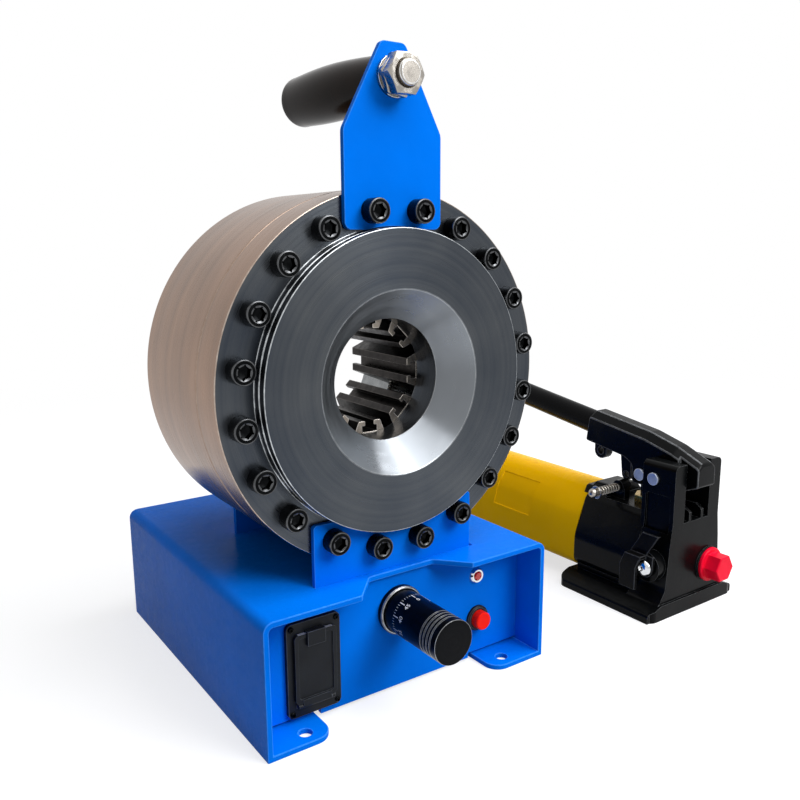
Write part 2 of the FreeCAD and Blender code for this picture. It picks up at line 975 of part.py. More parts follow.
def inlet_coupler():
    x, z = inlet_place()
    hex_end = barrel_rear + inlet_coupler_hex_length
    collar_end = hex_end + inlet_coupler_collar_length
    nipple = rod("y", inlet_port_radius - thread_clearance, barrel_floor + 1, barrel_rear, x, z)
    nut = hexagon("y", inlet_coupler_flats, barrel_rear, hex_end, x, z)
    collar = rod("y", inlet_coupler_collar_radius, hex_end, collar_end, x, z)
    body = joined([nipple, nut, collar])
    mouth = rod("y", inlet_coupler_bore_radius, collar_end - inlet_coupler_bore_length, collar_end, x, z)
    oilway = rod("y", inlet_oilway_radius, barrel_floor + 1, collar_end, x, z)
    return body.cut([mouth, oilway])


# Travel feeler and the dial works
def feeler_screw_height():
    return head_axis_height - (ram_tube_radius + ram_tube_bore_radius) / 2


def finger_bottom():
    return dial_height + dial_spindle_radius + switch_base_rise() + switch_height + feeler_switch_clearance


def switch_base_rise():
    return base_sheet / 2


def travel_feeler():
    near = ram_tube_end
    far = near + feeler_thickness
    top = feeler_screw_height() + feeler_overlap
    low = finger_bottom()
    strip = centred_block(0, feeler_width, near, far, low, top)
    finger = centred_block(0, feeler_width, far - feeler_finger_length, far, low, low + feeler_thickness)
    hole = rod("y", feeler_screw_radius + thread_clearance, near, far, 0, feeler_screw_height())
    return joined([strip, finger]).cut(hole)


def feeler_screw():
    seat = ram_tube_end + feeler_thickness
    z = feeler_screw_height()
    head = rod("y", feeler_screw_head_radius, seat, seat + feeler_screw_head_height, 0, z)
    shank = rod("y", feeler_screw_radius, seat - feeler_thickness - feeler_screw_depth, seat, 0, z)
    socket_end = seat + feeler_screw_head_height
    socket = hexagon("y", feeler_screw_radius * 1.2, seat + feeler_screw_head_height / 2, socket_end, 0, z)
    return joined([head, shank]).cut(socket)


def dial_ring():
    start = panel_face - dial_ring_length
    bore = dial_spindle_radius + dial_spindle_clearance
    flange = rod("y", dial_ring_radius, start, panel_face, 0, dial_height)
    flange = flange.makeChamfer(dial_groove_depth, [front_rim(flange, start)])
    bush = rod("y", dial_bush_radius, panel_face - dial_bush_length, panel_back + dial_nut_length, 0, dial_height)
    hole = rod("y", bore, panel_face - dial_bush_length, panel_back + dial_nut_length, 0, dial_height)
    return joined([flange, bush]).cut(hole)


def front_rim(solid, level):
    # The largest closed edge of the solid that lies in the plane y = level.
    rims = []
    for edge in solid.Edges:
        box = edge.BoundBox
        if abs(box.YMin - level) < 1e-6 and abs(box.YMax - level) < 1e-6 and edge.isClosed():
            rims.append(edge)
    return max(rims, key=lambda edge: edge.BoundBox.XLength)


def dial_nut():
    start = panel_back
    body = hexagon("y", 2 * dial_nut_radius * math.cos(math.radians(30)), start, start + dial_nut_length, 0, dial_height)
    bore = dial_bush_radius + thread_clearance
    return body.cut(rod("y", bore, start, start + dial_nut_length, 0, dial_height))


def drum_front():
    return panel_face - dial_ring_length - dial_drum_gap - dial_drum_length


def dial_drum():
    front = drum_front()
    back = front + dial_drum_length
    face = front + dial_drum_face_thickness
    profile = [
        (0, front),
        (dial_drum_radius - dial_drum_front_chamfer, front),
        (dial_drum_radius, front + dial_drum_front_chamfer),
    ]
    for index in range(dial_groove_count):
        start = front + dial_groove_setback + dial_groove_pitch * index
        profile.append((dial_drum_radius, start))
        profile.append((dial_drum_radius - dial_groove_depth, start))
        profile.append((dial_drum_radius - dial_groove_depth, start + dial_groove_width))
        profile.append((dial_drum_radius, start + dial_groove_width))
    profile += [
        (dial_drum_radius, back - dial_drum_front_chamfer),
        (dial_drum_radius - dial_drum_front_chamfer, back),
        (dial_drum_bore_radius, back),
        (dial_drum_bore_radius, face),
        (0, face),
    ]
    return turned(profile, 0, dial_height)


def spindle_front():
    return panel_face - dial_spindle_front


def dial_spindle():
    start = spindle_front()
    shaft = rod("y", dial_spindle_radius, start, start + dial_spindle_length, 0, dial_height)
    seat_end = start + dial_spindle_length
    seat_z = dial_height + dial_spindle_radius
    seat = centred_block(
        0, switch_base_width, seat_end - switch_base_length, seat_end,
        dial_height - dial_spindle_radius - switch_base_rise(), seat_z + switch_base_rise())
    return joined([shaft, seat])


def micro_switch():
    end = spindle_front() + dial_spindle_length
    middle = end - switch_base_length / 2
    low = dial_height + dial_spindle_radius + switch_base_rise()
    lever = base_sheet / 4
    body = centred_block(
        0, switch_width, middle - switch_length / 2, middle + switch_length / 2, low, low + switch_height - 2 * lever)
    arm = centred_block(
        0, switch_width - lever, middle - switch_length / 2, middle + switch_length / 2,
        low + switch_height - 2 * lever, low + switch_height - lever)
    roller_y = middle + switch_length / 2 - 2 * lever
    roller = rod("x", 2 * lever, -switch_width / 2 + lever, switch_width / 2 - lever, roller_y, low + switch_height - 2 * lever)
    return joined([body, arm, roller])


# Battery box
def battery_screw_places():
    half_x = battery_box_width / 2 - battery_screw_inset
    half_z = battery_box_height / 2 - battery_screw_inset
    places = []
    for side_x in (-1, 1):
        for side_z in (-1, 1):
            places.append((battery_box_centre_x + side_x * half_x, battery_box_centre_z + side_z * half_z))
    return places


def battery_box_front():
    return panel_face - battery_box_flange


def lid_hinge_place():
    low = battery_box_centre_z - battery_lid_height / 2
    y = battery_box_front() - battery_lid_barrel_radius - battery_lid_gap
    return y, low + battery_lid_barrel_radius


def battery_box():
    front = battery_box_front()
    x = battery_box_centre_x
    z = battery_box_centre_z
    flange = rounded_box("y", battery_box_width, battery_box_height, battery_box_corner, front, panel_face, x, z)
    low = z - battery_box_body_height / 2
    high = z + battery_box_body_height / 2
    body = centred_block(x, battery_box_body_width, panel_face, panel_back + battery_box_body_depth, low, high)
    wall = battery_box_wall
    hollow = centred_block(
        x, battery_box_body_width - 2 * wall, front, panel_back + battery_box_body_depth - wall,
        low + 2 * wall, high - 2 * wall)
    box = joined([flange, body]).cut(hollow)
    hinge_y, hinge_z = lid_hinge_place()
    lugs = []
    for side in (-1, 1):
        inner = x + side * (battery_lid_barrel_length / 2 + battery_lid_gap)
        outer = inner + side * battery_hinge_lug
        lug = prism("x", [
            (front, hinge_z - battery_lid_barrel_radius),
            (hinge_y - battery_lid_barrel_radius, hinge_z - battery_lid_barrel_radius, battery_lid_barrel_radius),
            (hinge_y - battery_lid_barrel_radius, hinge_z + battery_lid_barrel_radius, battery_lid_barrel_radius),
            (front, hinge_z + battery_lid_barrel_radius),
        ], min(inner, outer), max(inner, outer))
        lugs.append(lug)
    pin_half = battery_lid_barrel_length / 2 + battery_lid_gap + battery_hinge_lug
    pin = rod("x", battery_hinge_pin_radius, x - pin_half, x + pin_half, hinge_y, hinge_z)
    box = joined([box] + lugs + [pin])
    holes = []
    for screw_x, screw_z in battery_screw_places():
        holes.append(rod("y", battery_screw_radius + thread_clearance, front, panel_face, screw_x, screw_z))
    return box.cut(holes)


def battery_lid():
    back = battery_box_front() - battery_lid_gap
    front = back - battery_lid_thickness
    x = battery_box_centre_x
    z = battery_box_centre_z
    hinge_y, hinge_z = lid_hinge_place()
    low = hinge_z + battery_lid_barrel_radius + battery_lid_gap
    high = z + battery_lid_height / 2
    middle = (low + high) / 2
    plate = rounded_box("y", battery_lid_width, high - low, battery_lid_corner, front, back, x, middle)
    panel = rounded_box(
        "y", battery_lid_width - 2 * battery_lid_rim, high - low - 2 * battery_lid_rim,
        battery_lid_corner - battery_lid_gap, front, front + battery_lid_recess, x, middle)
    plate = plate.cut(panel)
    latch_high = high - battery_lid_rim
    latch = centred_block(
        x, battery_latch_width, front - battery_latch_proud, back, latch_high - battery_latch_height, latch_high)
    web_half = battery_lid_barrel_length / 2
    web = block(x - web_half, x + web_half, hinge_y - battery_lid_barrel_radius, back, hinge_z, low + battery_lid_rim)
    barrel = rod("x", battery_lid_barrel_radius, x - web_half, x + web_half, hinge_y, hinge_z)
    bore_radius_lid = battery_hinge_pin_radius + battery_hinge_pin_clearance
    bore = rod("x", bore_radius_lid, x - web_half, x + web_half, hinge_y, hinge_z)
    return joined([plate, latch, web, barrel]).cut(bore)


def battery():
    back = panel_back + battery_box_body_depth - battery_box_wall
    low = battery_box_centre_z - battery_box_body_height / 2 + 2 * battery_box_wall
    return centred_block(
        battery_box_centre_x, battery_width, back - battery_thickness, back, low, low + battery_height)


def battery_box_screws():
    front = battery_box_front()
    screws = []
    for x, z in battery_screw_places():
        screws.append(turned([
            (0, front + battery_screw_length),
            (battery_screw_radius, front + battery_screw_length),
            (battery_screw_radius, front),
            (battery_screw_head_radius, front),
            (battery_screw_radius, front - battery_screw_head_height),
            (0, front - battery_screw_head_height),
        ], x, z))
    return Part.makeCompound(screws)


# Lamp and push button
def lamp_bezel():
    front = panel_face - lamp_bezel_height
    back = panel_back + lamp_body_depth
    profile = [
        (lamp_lens_radius, front),
        (lamp_body_radius, front),
        (lamp_bezel_radius, panel_face - lamp_bezel_height / 3),
        (lamp_bezel_radius, panel_face),
        (lamp_body_radius, panel_face),
        (lamp_body_radius, back),
        (lamp_lens_radius, back),
    ]
    return turned(profile, lamp_x, lamp_z)


def lamp_lens():
    front = panel_face - lamp_lens_height
    back = panel_back + lamp_body_depth
    body = rod("y", lamp_lens_radius, front, back, lamp_x, lamp_z)
    rim = front_rim(body, front)
    return body.makeFillet(lamp_lens_radius * 0.6, [rim])


def button_bezel():
    front = panel_face - button_bezel_height
    back = panel_back + button_body_depth
    inner = button_cap_radius + button_cap_clearance
    cap_end = panel_face + button_cap_depth + button_travel + battery_lid_gap
    profile = [
        (inner, front),
        (button_bezel_radius - button_bezel_height / 3, front),
        (button_bezel_radius, front + button_bezel_height / 3),
        (button_bezel_radius, panel_face),
        (button_body_radius, panel_face),
        (button_body_radius, back),
        (0, back),
        (0, cap_end),
        (inner, cap_end),
    ]
    return turned(profile, button_x, button_z)


def button_cap():
    front = panel_face - button_bezel_height - button_cap_height
    body = rod("y", button_cap_radius, front, panel_face + button_cap_depth, button_x, button_z)
    return body.makeChamfer(button_cap_height / 6, [front_rim(body, front)])


def panel_nuts():
    nuts = []
    for x, z, radius in ((button_x, button_z, button_body_radius), (lamp_x, lamp_z, lamp_body_radius)):
        outer = radius + panel_nut_thickness
        inner = radius + thread_clearance
        nuts.append(tube("y", outer, inner, panel_back, panel_back + panel_nut_thickness, x, z))
    return Part.makeCompound(nuts)


# Carry grip and its bolt
def grip_start():
    return ring_face + grip_seat_gap


def grip_end():
    return grip_start() + grip_length


def handle_grip():
    start = grip_start()
    end = grip_end()
    bolt_hole = grip_bolt_radius + grip_bolt_clearance
    inner_end = end - grip_counterbore_depth
    shoulder = end - grip_end_bevel
    swell = Part.Arc(
        FreeCAD.Vector(grip_neck_radius, start, 0),
        FreeCAD.Vector(grip_radius, start + grip_length * grip_swell_place, 0),
        FreeCAD.Vector(grip_shoulder_radius, shoulder, 0))
    rest = [
        FreeCAD.Vector(grip_shoulder_radius, shoulder, 0),
        FreeCAD.Vector(grip_end_radius, end, 0),
        FreeCAD.Vector(grip_counterbore_radius, end, 0),
        FreeCAD.Vector(grip_counterbore_radius, inner_end, 0),
        FreeCAD.Vector(bolt_hole, inner_end, 0),
        FreeCAD.Vector(bolt_hole, start, 0),
        FreeCAD.Vector(grip_neck_radius, start, 0),
    ]
    wire = Part.Wire([swell.toShape()] + Part.makePolygon(rest).Edges)
    body = Part.Face(wire).revolve(FreeCAD.Vector(0, 0, 0), FreeCAD.Vector(0, 1, 0), 360)
    body.translate(FreeCAD.Vector(0, 0, grip_axis_height))
    return body


def nut_seat():
    return ring_face - plate_thickness - washer_thickness


def handle_bolt():
    head_start = grip_end() - grip_counterbore_depth + grip_seat_gap
    tip = nut_seat() - nut_height - stud_projection
    shank = rod("y", grip_bolt_radius, tip, head_start, 0, grip_axis_height)
    shank = shank.makeChamfer(nut_edge_break, [front_rim(shank, tip)])
    head = rod("y", bolt_head_radius, head_start, head_start + bolt_head_height, 0, grip_axis_height)
    socket = hexagon("y", bolt_head_radius, head_start + bolt_head_height / 2, head_start + bolt_head_height, 0, grip_axis_height)
    return joined([shank, head]).cut(socket)


def handle_washer():
    bore = grip_bolt_radius + screw_hole_clearance
    return tube("y", washer_radius, bore, nut_seat(), nut_seat() + washer_thickness, 0, grip_axis_height)


def handle_nut():
    start = nut_seat() - nut_height
    seat = nut_seat()
    body = hexagon("y", nut_flats, start, seat, 0, grip_axis_height)
    corner = nut_flats / math.sqrt(3)
    dome = turned([
        (0, start),
        (corner - nut_edge_break, start),
        (corner, start + nut_edge_break),
        (corner, seat - nut_edge_break),
        (corner - nut_edge_break, seat),
        (0, seat),
    ], 0, grip_axis_height)
    bore = grip_bolt_radius + thread_clearance
    return body.common(dome).cut(rod("y", bore, start, seat, 0, grip_axis_height))


# Hand pump, drawn on its own centre plane and moved to its place
def placed(shape):
    moved = shape.copy()
    moved.translate(FreeCAD.Vector(pump_centre_x, pump_front, 0))
    return moved


def tank_section(grow):
    low = tank_low_width / 2 + grow
    shoulder = tank_shoulder_width / 2 + grow
    top = tank_top + grow
    bottom = tank_bottom - grow
    radius = max(tank_corner + grow, 1)
    side_high = tank_side_high
    right = [
        (low - radius, bottom, radius),
        (low, tank_side_low, radius),
        (low, side_high, radius * 3),
        (shoulder, tank_shoulder_height + grow, radius),
        (shoulder - radius * 1.6, top, radius),
    ]
    left = [(-u, v, r) for u, v, r in reversed(right)]
    return right + left


def pump_front_profile():
    foot = pump_foot_width / 2
    hip = pump_hip_width / 2
    waist = pump_waist_width / 2
    tower = pump_tower_width / 2
    right = [
        (foot, 0),
        (foot, pump_foot_edge, pump_foot_edge / 2),
        (hip + pump_foot_edge, pump_foot_height, pump_foot_edge),
        (hip, pump_hip_height, pump_foot_edge * 2),
        (waist, pump_waist_height, pump_foot_edge * 2),
        (tower, pump_window_floor, pump_foot_edge * 2),
        (tower, pump_tower_top, pump_tower_corner),
    ]
    left = [(-corner[0],) + tuple(corner[1:]) for corner in reversed(right)]
    return right + left


def pump_body():
    profile = pump_front_profile()
    head = prism("y", profile, 0, pump_tower_depth)
    foot_half = pump_foot_width / 2
    hip = pump_hip_width / 2
    foot_section = [
        (foot_half, 0),
        (foot_half, pump_foot_edge, pump_foot_edge / 2),
        (hip + pump_foot_edge, pump_foot_height, pump_foot_edge),
        (-hip - pump_foot_edge, pump_foot_height, pump_foot_edge),
        (-foot_half, pump_foot_edge, pump_foot_edge / 2),
        (-foot_half, 0),
    ]
    foot_end = pump_foot_front + pump_foot_length
    foot = prism("y", foot_section, pump_foot_front, foot_end)
    foot_plan = rounded_box(
        "z", pump_foot_width, pump_foot_length, pump_foot_corner, 0, pump_foot_height,
        0, (pump_foot_front + foot_end) / 2)
    foot = foot.common(foot_plan)
    mid = prism("y", tank_section(0), pump_tower_depth - pump_block_lap, pump_block_end)
    skirt = centred_block(0, pump_hip_width, 0, pump_block_end, pump_foot_height / 2, tank_side_low)
    body = joined([head, foot, mid, skirt])
    reach = pump_tower_width
    deck = centred_block(0, reach, pump_tower_depth, pump_deck_end, pump_deck_height, tank_top + 1)
    window = centred_block(0, pump_slot_width, -1, pump_tower_depth + 1, pump_window_floor, pump_tower_top + 1)
    body = body.cut([deck, window])
    ledges = []
    ledge_top = pump_window_floor + pump_ledge_front + pump_ledge_height
    for side_sign in (-1, 1):
        ledge_x = side_sign * pump_ledge_spacing / 2
        ledges.append(prism("x", [
            (0, pump_window_floor),
            (pump_tower_depth, pump_window_floor),
            (pump_tower_depth, ledge_top),
            (pump_ledge_run, ledge_top),
            (0, pump_window_floor + pump_ledge_front),
        ], ledge_x - pump_ledge_width / 2, ledge_x + pump_ledge_width / 2))
    arm_half = lock_arm_thickness / 2
    arm_x = -lock_boss_end()
    boss = rod("x", lock_boss_radius, arm_x - lock_boss_length, arm_x, lock_y, lock_z)
    arm = prism("x", [
        (lock_y - lock_boss_radius, pump_deck_height - pump_ledge_height),
        (lock_y + lock_boss_radius, pump_deck_height - pump_ledge_height),
        (lock_y + lock_boss_radius, lock_z),
        (lock_y - lock_boss_radius, lock_z),
    ], arm_x - lock_boss_length / 2 - arm_half, arm_x - lock_boss_length / 2 + arm_half)
    outlet_boss = rod("y", outlet_boss_radius, -pump_ledge_width / 2, pump_ledge_width, outlet_x, outlet_z)
    side = pump_hip_width / 2
    release_boss = rod("x", release_boss_radius, -release_face(), 0, release_y, release_z)
    body = joined([body, boss, arm, outlet_boss, release_boss] + ledges)
    link_y = fulcrum_y + link_offset_y
    cuts = [
        rod("x", lock_pin_radius + lock_pin_clearance, arm_x - lock_boss_length, arm_x, lock_y, lock_z),
        rod("x", fulcrum_pin_radius, -side, side, fulcrum_y, fulcrum_z),
        rod("z", plunger_radius + plunger_clearance, plunger_bottom(), pump_deck_height, 0, link_y),
        rod("y", plug_shank_radius + plug_shank_clearance, -pump_ledge_width / 2,
            plug_shank_length + pump_ledge_width, outlet_x, outlet_z),
        rod("x", release_spindle_radius + release_spindle_clearance, -release_face(),
            -release_face() + release_depth + battery_lid_gap, release_y, release_z),
    ]
    for side_sign in (-1, 1):
        inner = side_sign * (pump_tower_width / 2 - pump_side_recess)
        outer = side_sign * (pump_tower_width / 2 + 1)
        recess = rounded_box(
            "x", pump_tower_depth - 4 * pump_side_recess, pump_recess_height,
            pump_tower_corner - pump_side_recess, min(inner, outer), max(inner, outer),
            pump_tower_depth / 2, pump_recess_centre)
        cuts.append(recess)
    tail = tank_section(-tank_wall - tank_spigot_clearance)
    spigot = prism("y", tail, pump_block_end, pump_block_end + tank_spigot)
    return placed(joined([body.cut(cuts), spigot]))


def release_face():
    return tank_low_width / 2 + release_boss_height


def plunger_bottom():
    return link_height() - plunger_head_drop - plunger_depth


def link_height():
    return fulcrum_z - link_drop


def lock_boss_end():
    # Distance from the centre plane to the near end of the lock boss.
    return lock_ear_width / 2 + lock_boss_gap


def pump_reservoir():
    shell = prism("y", tank_section(0), pump_block_end, pump_block_end + tank_length)
    hollow = prism("y", tank_section(-tank_wall), pump_block_end, pump_block_end + tank_length)
    shell = shell.cut(hollow)
    low_u = tank_low_width / 2
    high_u = tank_shoulder_width / 2
    run = low_u - high_u
    rise = tank_shoulder_height - tank_side_high
    lean = math.degrees(math.atan2(run, rise))
    centre_u = (low_u + high_u) / 2
    centre_z = (tank_side_high + tank_shoulder_height) / 2
    label_y = pump_block_end + tank_panel_start + tank_panel_length / 2
    label = rounded_box(
        "x", tank_panel_length, tank_panel_height, tank_panel_corner,
        -tank_panel_depth, tank_wall, label_y, 0)
    label.rotate(FreeCAD.Vector(0, label_y, 0), FreeCAD.Vector(0, 1, 0), -lean)
    label.translate(FreeCAD.Vector(centre_u, 0, centre_z))
    shell = shell.cut([label, mirrored(label)])
    return placed(shell)


def reservoir_end_cap():
    start = pump_block_end + tank_length
    end = start + cap_length
    disc = prism("y", tank_section(tank_step), start, end)
    spigot = prism("y", tank_section(-tank_wall - tank_spigot_clearance), start - tank_spigot, start)
    foot_half = cap_foot_width / 2
    foot = prism("y", [
        (-foot_half, 0),
        (foot_half, 0),
        (foot_half, cap_foot_height, cap_foot_height / 3),
        (foot_half - cap_foot_height, cap_foot_height + tank_side_low / 2),
        (-foot_half + cap_foot_height, cap_foot_height + tank_side_low / 2),
        (-foot_half, cap_foot_height, cap_foot_height / 3),
    ], start, end)
    neck = rod("y", filler_neck_radius, end - filler_neck_length, end, filler_x, filler_z)
    return placed(joined([disc, spigot, foot]).cut(neck))


def filler_plug():
    end = pump_block_end + tank_length + cap_length
    neck = rod("y", filler_neck_radius, end - filler_neck_length, end, filler_x, filler_z)
    collar = rod("y", filler_radius, end, end + filler_length / 3, filler_x, filler_z)
    head = hexagon("y", filler_flats * 0.9, end + filler_length / 3, end + filler_length, filler_x, filler_z)
    return placed(joined([neck, collar, head]))


# Pump handle
def tube_frame(distance, offset):
    # A point along the handle tube, from the fulcrum, in the YZ plane.
    angle = math.radians(handle_tube_rise)
    y = fulcrum_y + distance * math.cos(angle) - offset * math.sin(angle)
    z = fulcrum_z + distance * math.sin(angle) + offset * math.cos(angle)
    return y, z


def along_tube(radius, start, end):
    y, z = tube_frame(start, handle_tube_offset)
    angle = math.radians(handle_tube_rise)
    direction = FreeCAD.Vector(0, math.cos(angle), math.sin(angle))
    return Part.makeCylinder(radius, end - start, FreeCAD.Vector(0, y, z), direction)


def handle_outline(drop):
    # The arm from the side. A drop lowers its top, for the foot of the sloped sides.
    top = handle_tube_offset + handle_tube_radius + handle_socket_wall - drop
    under = handle_tube_offset - handle_tube_radius - handle_socket_wall
    socket_top = tube_frame(handle_socket_length, top)
    socket_low = tube_frame(handle_socket_length, under)
    arm_low = tube_frame(handle_socket_length / 2, under)
    crown = tube_frame(handle_nose, top)
    brow = tube_frame(0, top - handle_socket_wall)
    cheek_back = fulcrum_y + link_offset_y + link_pin_radius + handle_cheek
    cheek_low = cheek_bottom()
    nose = fulcrum_y - handle_nose
    return [
        (nose, fulcrum_z - link_drop, 3),
        (nose, fulcrum_z + handle_nose / 2 - drop, 4),
        (brow[0], brow[1], 30),
        (crown[0], crown[1], 20),
        (socket_top[0], socket_top[1], 2),
        (socket_low[0], socket_low[1], 2),
        (arm_low[0], arm_low[1], 20),
        (cheek_back, arm_low[1] - handle_cheek, handle_cheek),
        (cheek_back, cheek_low, 4),
        (fulcrum_y - handle_cheek, cheek_low, 8),
    ]


def pump_handle():
    half = handle_width / 2
    ridge = handle_top_width / 2
    crest = handle_outline(0)
    eaves = handle_outline(handle_top_slope)
    body = joined([prism("x", crest, -ridge, ridge), sloped_side(eaves, crest, 1), sloped_side(eaves, crest, -1)])
    inner = half - handle_cheek
    link_y = fulcrum_y + link_offset_y
    link_z = link_height()
    sweep = plunger_head_length / 2 + plunger_slot_side + handle_cheek
    head_reach = math.hypot(plunger_head_length / 2, plunger_head_rise)
    well_top = link_z + head_reach + plunger_slot_side
    well = prism("x", [
        (link_y - sweep, link_z - link_pin_radius * 4),
        (link_y + sweep * 2, link_z - link_pin_radius * 4),
        (link_y + sweep * 2, link_z),
        (link_y + sweep, well_top),
        (link_y - sweep, well_top),
    ], -inner, inner)
    nose_front = fulcrum_y - handle_nose
    nose_rest = centred_block(
        0, handle_nose_width, nose_front, nose_front + handle_nose_step, cheek_bottom(), fulcrum_z + handle_nose)
    nose_space = centred_block(
        0, handle_width + 2, nose_front - 1, nose_front + handle_nose_step, cheek_bottom() - 1, fulcrum_z + handle_nose)
    nose_cuts = nose_space.cut(nose_rest)
    lug_y, lug_z = tube_frame(lug_distance, handle_tube_offset - handle_tube_radius - handle_socket_wall - lug_axis_drop)
    lug_half = lug_thickness / 2
    lug = rod("x", lug_radius, -lug_half, lug_half, lug_y, lug_z)
    lug_web = block(-lug_half, lug_half, lug_y - lug_radius, lug_y + lug_radius, lug_z, lug_z + 2 * lug_axis_drop)
    ear_y, ear_z = ear_place()
    ear_half = lock_ear_width / 2
    ear = rod("x", lock_ear_radius, -ear_half, ear_half, ear_y, ear_z)
    ear_web = prism("x", [
        (ear_y - lock_ear_radius, ear_z),
        (ear_y + lock_ear_radius, ear_z),
        (ear_y + lock_ear_radius * 1.5, ear_z + 4 * lock_ear_radius),
        (ear_y - lock_ear_radius, ear_z + 4 * lock_ear_radius),
    ], -ear_half, ear_half)
    ear_web = ear_web.common(prism("x", outline_with_room(), -half, half))
    body = joined([body.cut([well, nose_cuts]), lug, lug_web, ear, ear_web])
    cuts = [
        along_tube(handle_tube_radius + handle_tube_clearance, handle_tube_start, handle_socket_length + 1),
        rod("x", fulcrum_pin_radius + fulcrum_pin_clearance, -half, half, fulcrum_y, fulcrum_z),
        rod("x", link_pin_radius, -half, half, link_y, link_z),
        rod("x", lug_hole_radius, -lug_half, lug_half, lug_y, lug_z),
        rod("x", lock_pin_radius + lock_pin_clearance, -ear_half, ear_half, ear_y, ear_z),
    ]
    return placed(body.cut(cuts))


def outline_with_room():
    ear_y, ear_z = ear_place()
    top = tube_frame(handle_socket_length / 2, handle_tube_offset)
    return [
        (fulcrum_y, ear_z - lock_ear_radius),
        (fulcrum_y + handle_socket_length, ear_z - lock_ear_radius),
        (fulcrum_y + handle_socket_length, top[1]),
        (fulcrum_y, top[1]),
    ]


def cheek_bottom():
    return link_height() - link_pin_radius - handle_cheek


def sloped_side(eaves, crest, side):
    # From the edge of the flat top out and down to the arm's full width.
    half = handle_width / 2
    ridge = handle_top_width / 2
    low = outline_face("x", side * half, eaves).OuterWire
    high = outline_face("x", side * ridge, crest).OuterWire
    return Part.makeLoft([high, low], True, True)


def ear_place():
    # The ear meets the lock pin when the handle is at its lowest.
    angle = math.radians(handle_down_angle)
    run = lock_y - fulcrum_y
    drop = lock_z - fulcrum_z
    y = fulcrum_y + run * math.cos(angle) - drop * math.sin(angle)
    z = fulcrum_z + run * math.sin(angle) + drop * math.cos(angle)
    return y, z


def handle_tube():
    end = handle_tube_start + handle_tube_length
    outer = along_tube(handle_tube_radius, handle_tube_start, end)
    inner = along_tube(handle_tube_radius - handle_tube_wall, handle_tube_start, end)
    return placed(outer.cut(inner))


def handle_tube_plug():
    end = handle_tube_start + handle_tube_length
    inside = along_tube(handle_tube_radius - handle_tube_wall, end - tube_plug_length, end)
    rim = along_tube(handle_tube_radius, end, end + tube_plug_rim)
    edge = [edge for edge in rim.Edges if edge.isClosed()]
    far = max(edge, key=lambda item: item.CenterOfMass.y)
    rim = rim.makeFillet(tube_plug_rim / 2, [far])
    return placed(joined([inside, rim]))


def pin(radius, y, z, half_span):
    shaft = rod("x", radius, -half_span, half_span + pin_tail, y, z)
    head = rod("x", pin_head_radius, -half_span - pin_head_height, -half_span, y, z)
    return joined([shaft, head])


def fulcrum_pin():
    return placed(pin(fulcrum_pin_radius, fulcrum_y, fulcrum_z, pump_tower_width / 2))


def link_pin():
    # The head stays clear of the towers: it stands on the cheek, behind them.
    y = fulcrum_y + link_offset_y
    return placed(pin(link_pin_radius, y, link_height(), handle_width / 2))


def plunger():
    y = fulcrum_y + link_offset_y
    z = link_height()
    neck = z - plunger_head_drop
    shaft = rod("z", plunger_radius, plunger_bottom() + plunger_head_drop, neck, 0, y)
    half_y = plunger_head_length / 2
    head = centred_block(0, plunger_head_width, y - half_y, y + half_y, neck, z + plunger_head_rise)
    half_slot = link_pin_radius + plunger_slot_side
    height = link_pin_radius + plunger_slot_clearance
    slot = prism("x", [
        (y - half_slot, z - height, height * 0.9),
        (y + half_slot, z - height, height * 0.9),
        (y + half_slot, z + height, height * 0.9),
        (y - half_slot, z + height, height * 0.9),
    ], -plunger_head_width, plunger_head_width)
    return placed(joined([shaft, head]).cut(slot))


def plunger_gland():
    y = fulcrum_y + link_offset_y
    body = hexagon("z", gland_flats, pump_deck_height, pump_deck_height + gland_height, 0, y)
    bore = rod("z", plunger_radius + plunger_clearance, pump_deck_height, pump_deck_height + gland_height, 0, y)
    return placed(body.cut(bore))


# Handle lock
def lock_outer_face():
    return -lock_boss_end() - lock_boss_length


def lock_pin():
    tip = -lock_ear_width / 2 - lock_boss_gap / 2
    spring_end = lock_outer_face() - lock_spring_length
    washer_start = spring_end - lock_washer_thickness
    neck_angle = math.asin(lock_pin_radius / lock_ball_radius)
    centre_x = washer_start - lock_ball_radius * math.cos(neck_angle)
    profile = [(centre_x - lock_ball_radius, 0)]
    for step in range(1, lock_ball_steps + 1):
        angle = math.pi - (math.pi - neck_angle) * step / lock_ball_steps
        profile.append((centre_x + lock_ball_radius * math.cos(angle), lock_ball_radius * math.sin(angle)))
    profile += [
        (washer_start, lock_washer_radius),
        (spring_end, lock_washer_radius),
        (spring_end, lock_pin_radius),
        (tip, lock_pin_radius),
        (tip, 0),
    ]
    return placed(turned_about_x(profile, lock_y, lock_z))


def lock_spring():
    # The coil is a chain of short straight lengths of square wire.
    half = lock_spring_wire / 2
    inner = lock_pin_radius + lock_spring_play
    outer = inner + lock_spring_wire
    length = lock_spring_length - 2 * lock_spring_play
    pitch = (length - lock_spring_wire) / lock_spring_turns
    start = lock_outer_face() - lock_spring_length + lock_spring_play + half
    rings = []
    for step in range(lock_spring_turns * lock_spring_sides + 1):
        angle = 2 * math.pi * step / lock_spring_sides
        x = start + pitch * step / lock_spring_sides
        ring = []
        for radius, shift in ((inner, -half), (outer, -half), (outer, half), (inner, half)):
            ring.append(FreeCAD.Vector(x + shift, lock_y + radius * math.cos(angle), lock_z + radius * math.sin(angle)))
        rings.append(ring)
    faces = [four_sided(rings[0]), four_sided(rings[-1])]
    for ring, following in zip(rings, rings[1:]):
        for index in range(4):
            after = (index + 1) % 4
            faces.append(Part.Face(Part.makePolygon([ring[index], ring[after], following[after], ring[index]])))
            faces.append(Part.Face(Part.makePolygon([ring[index], following[after], following[index], ring[index]])))
    shell = Part.Shell(faces)
    return placed(Part.Solid(shell))


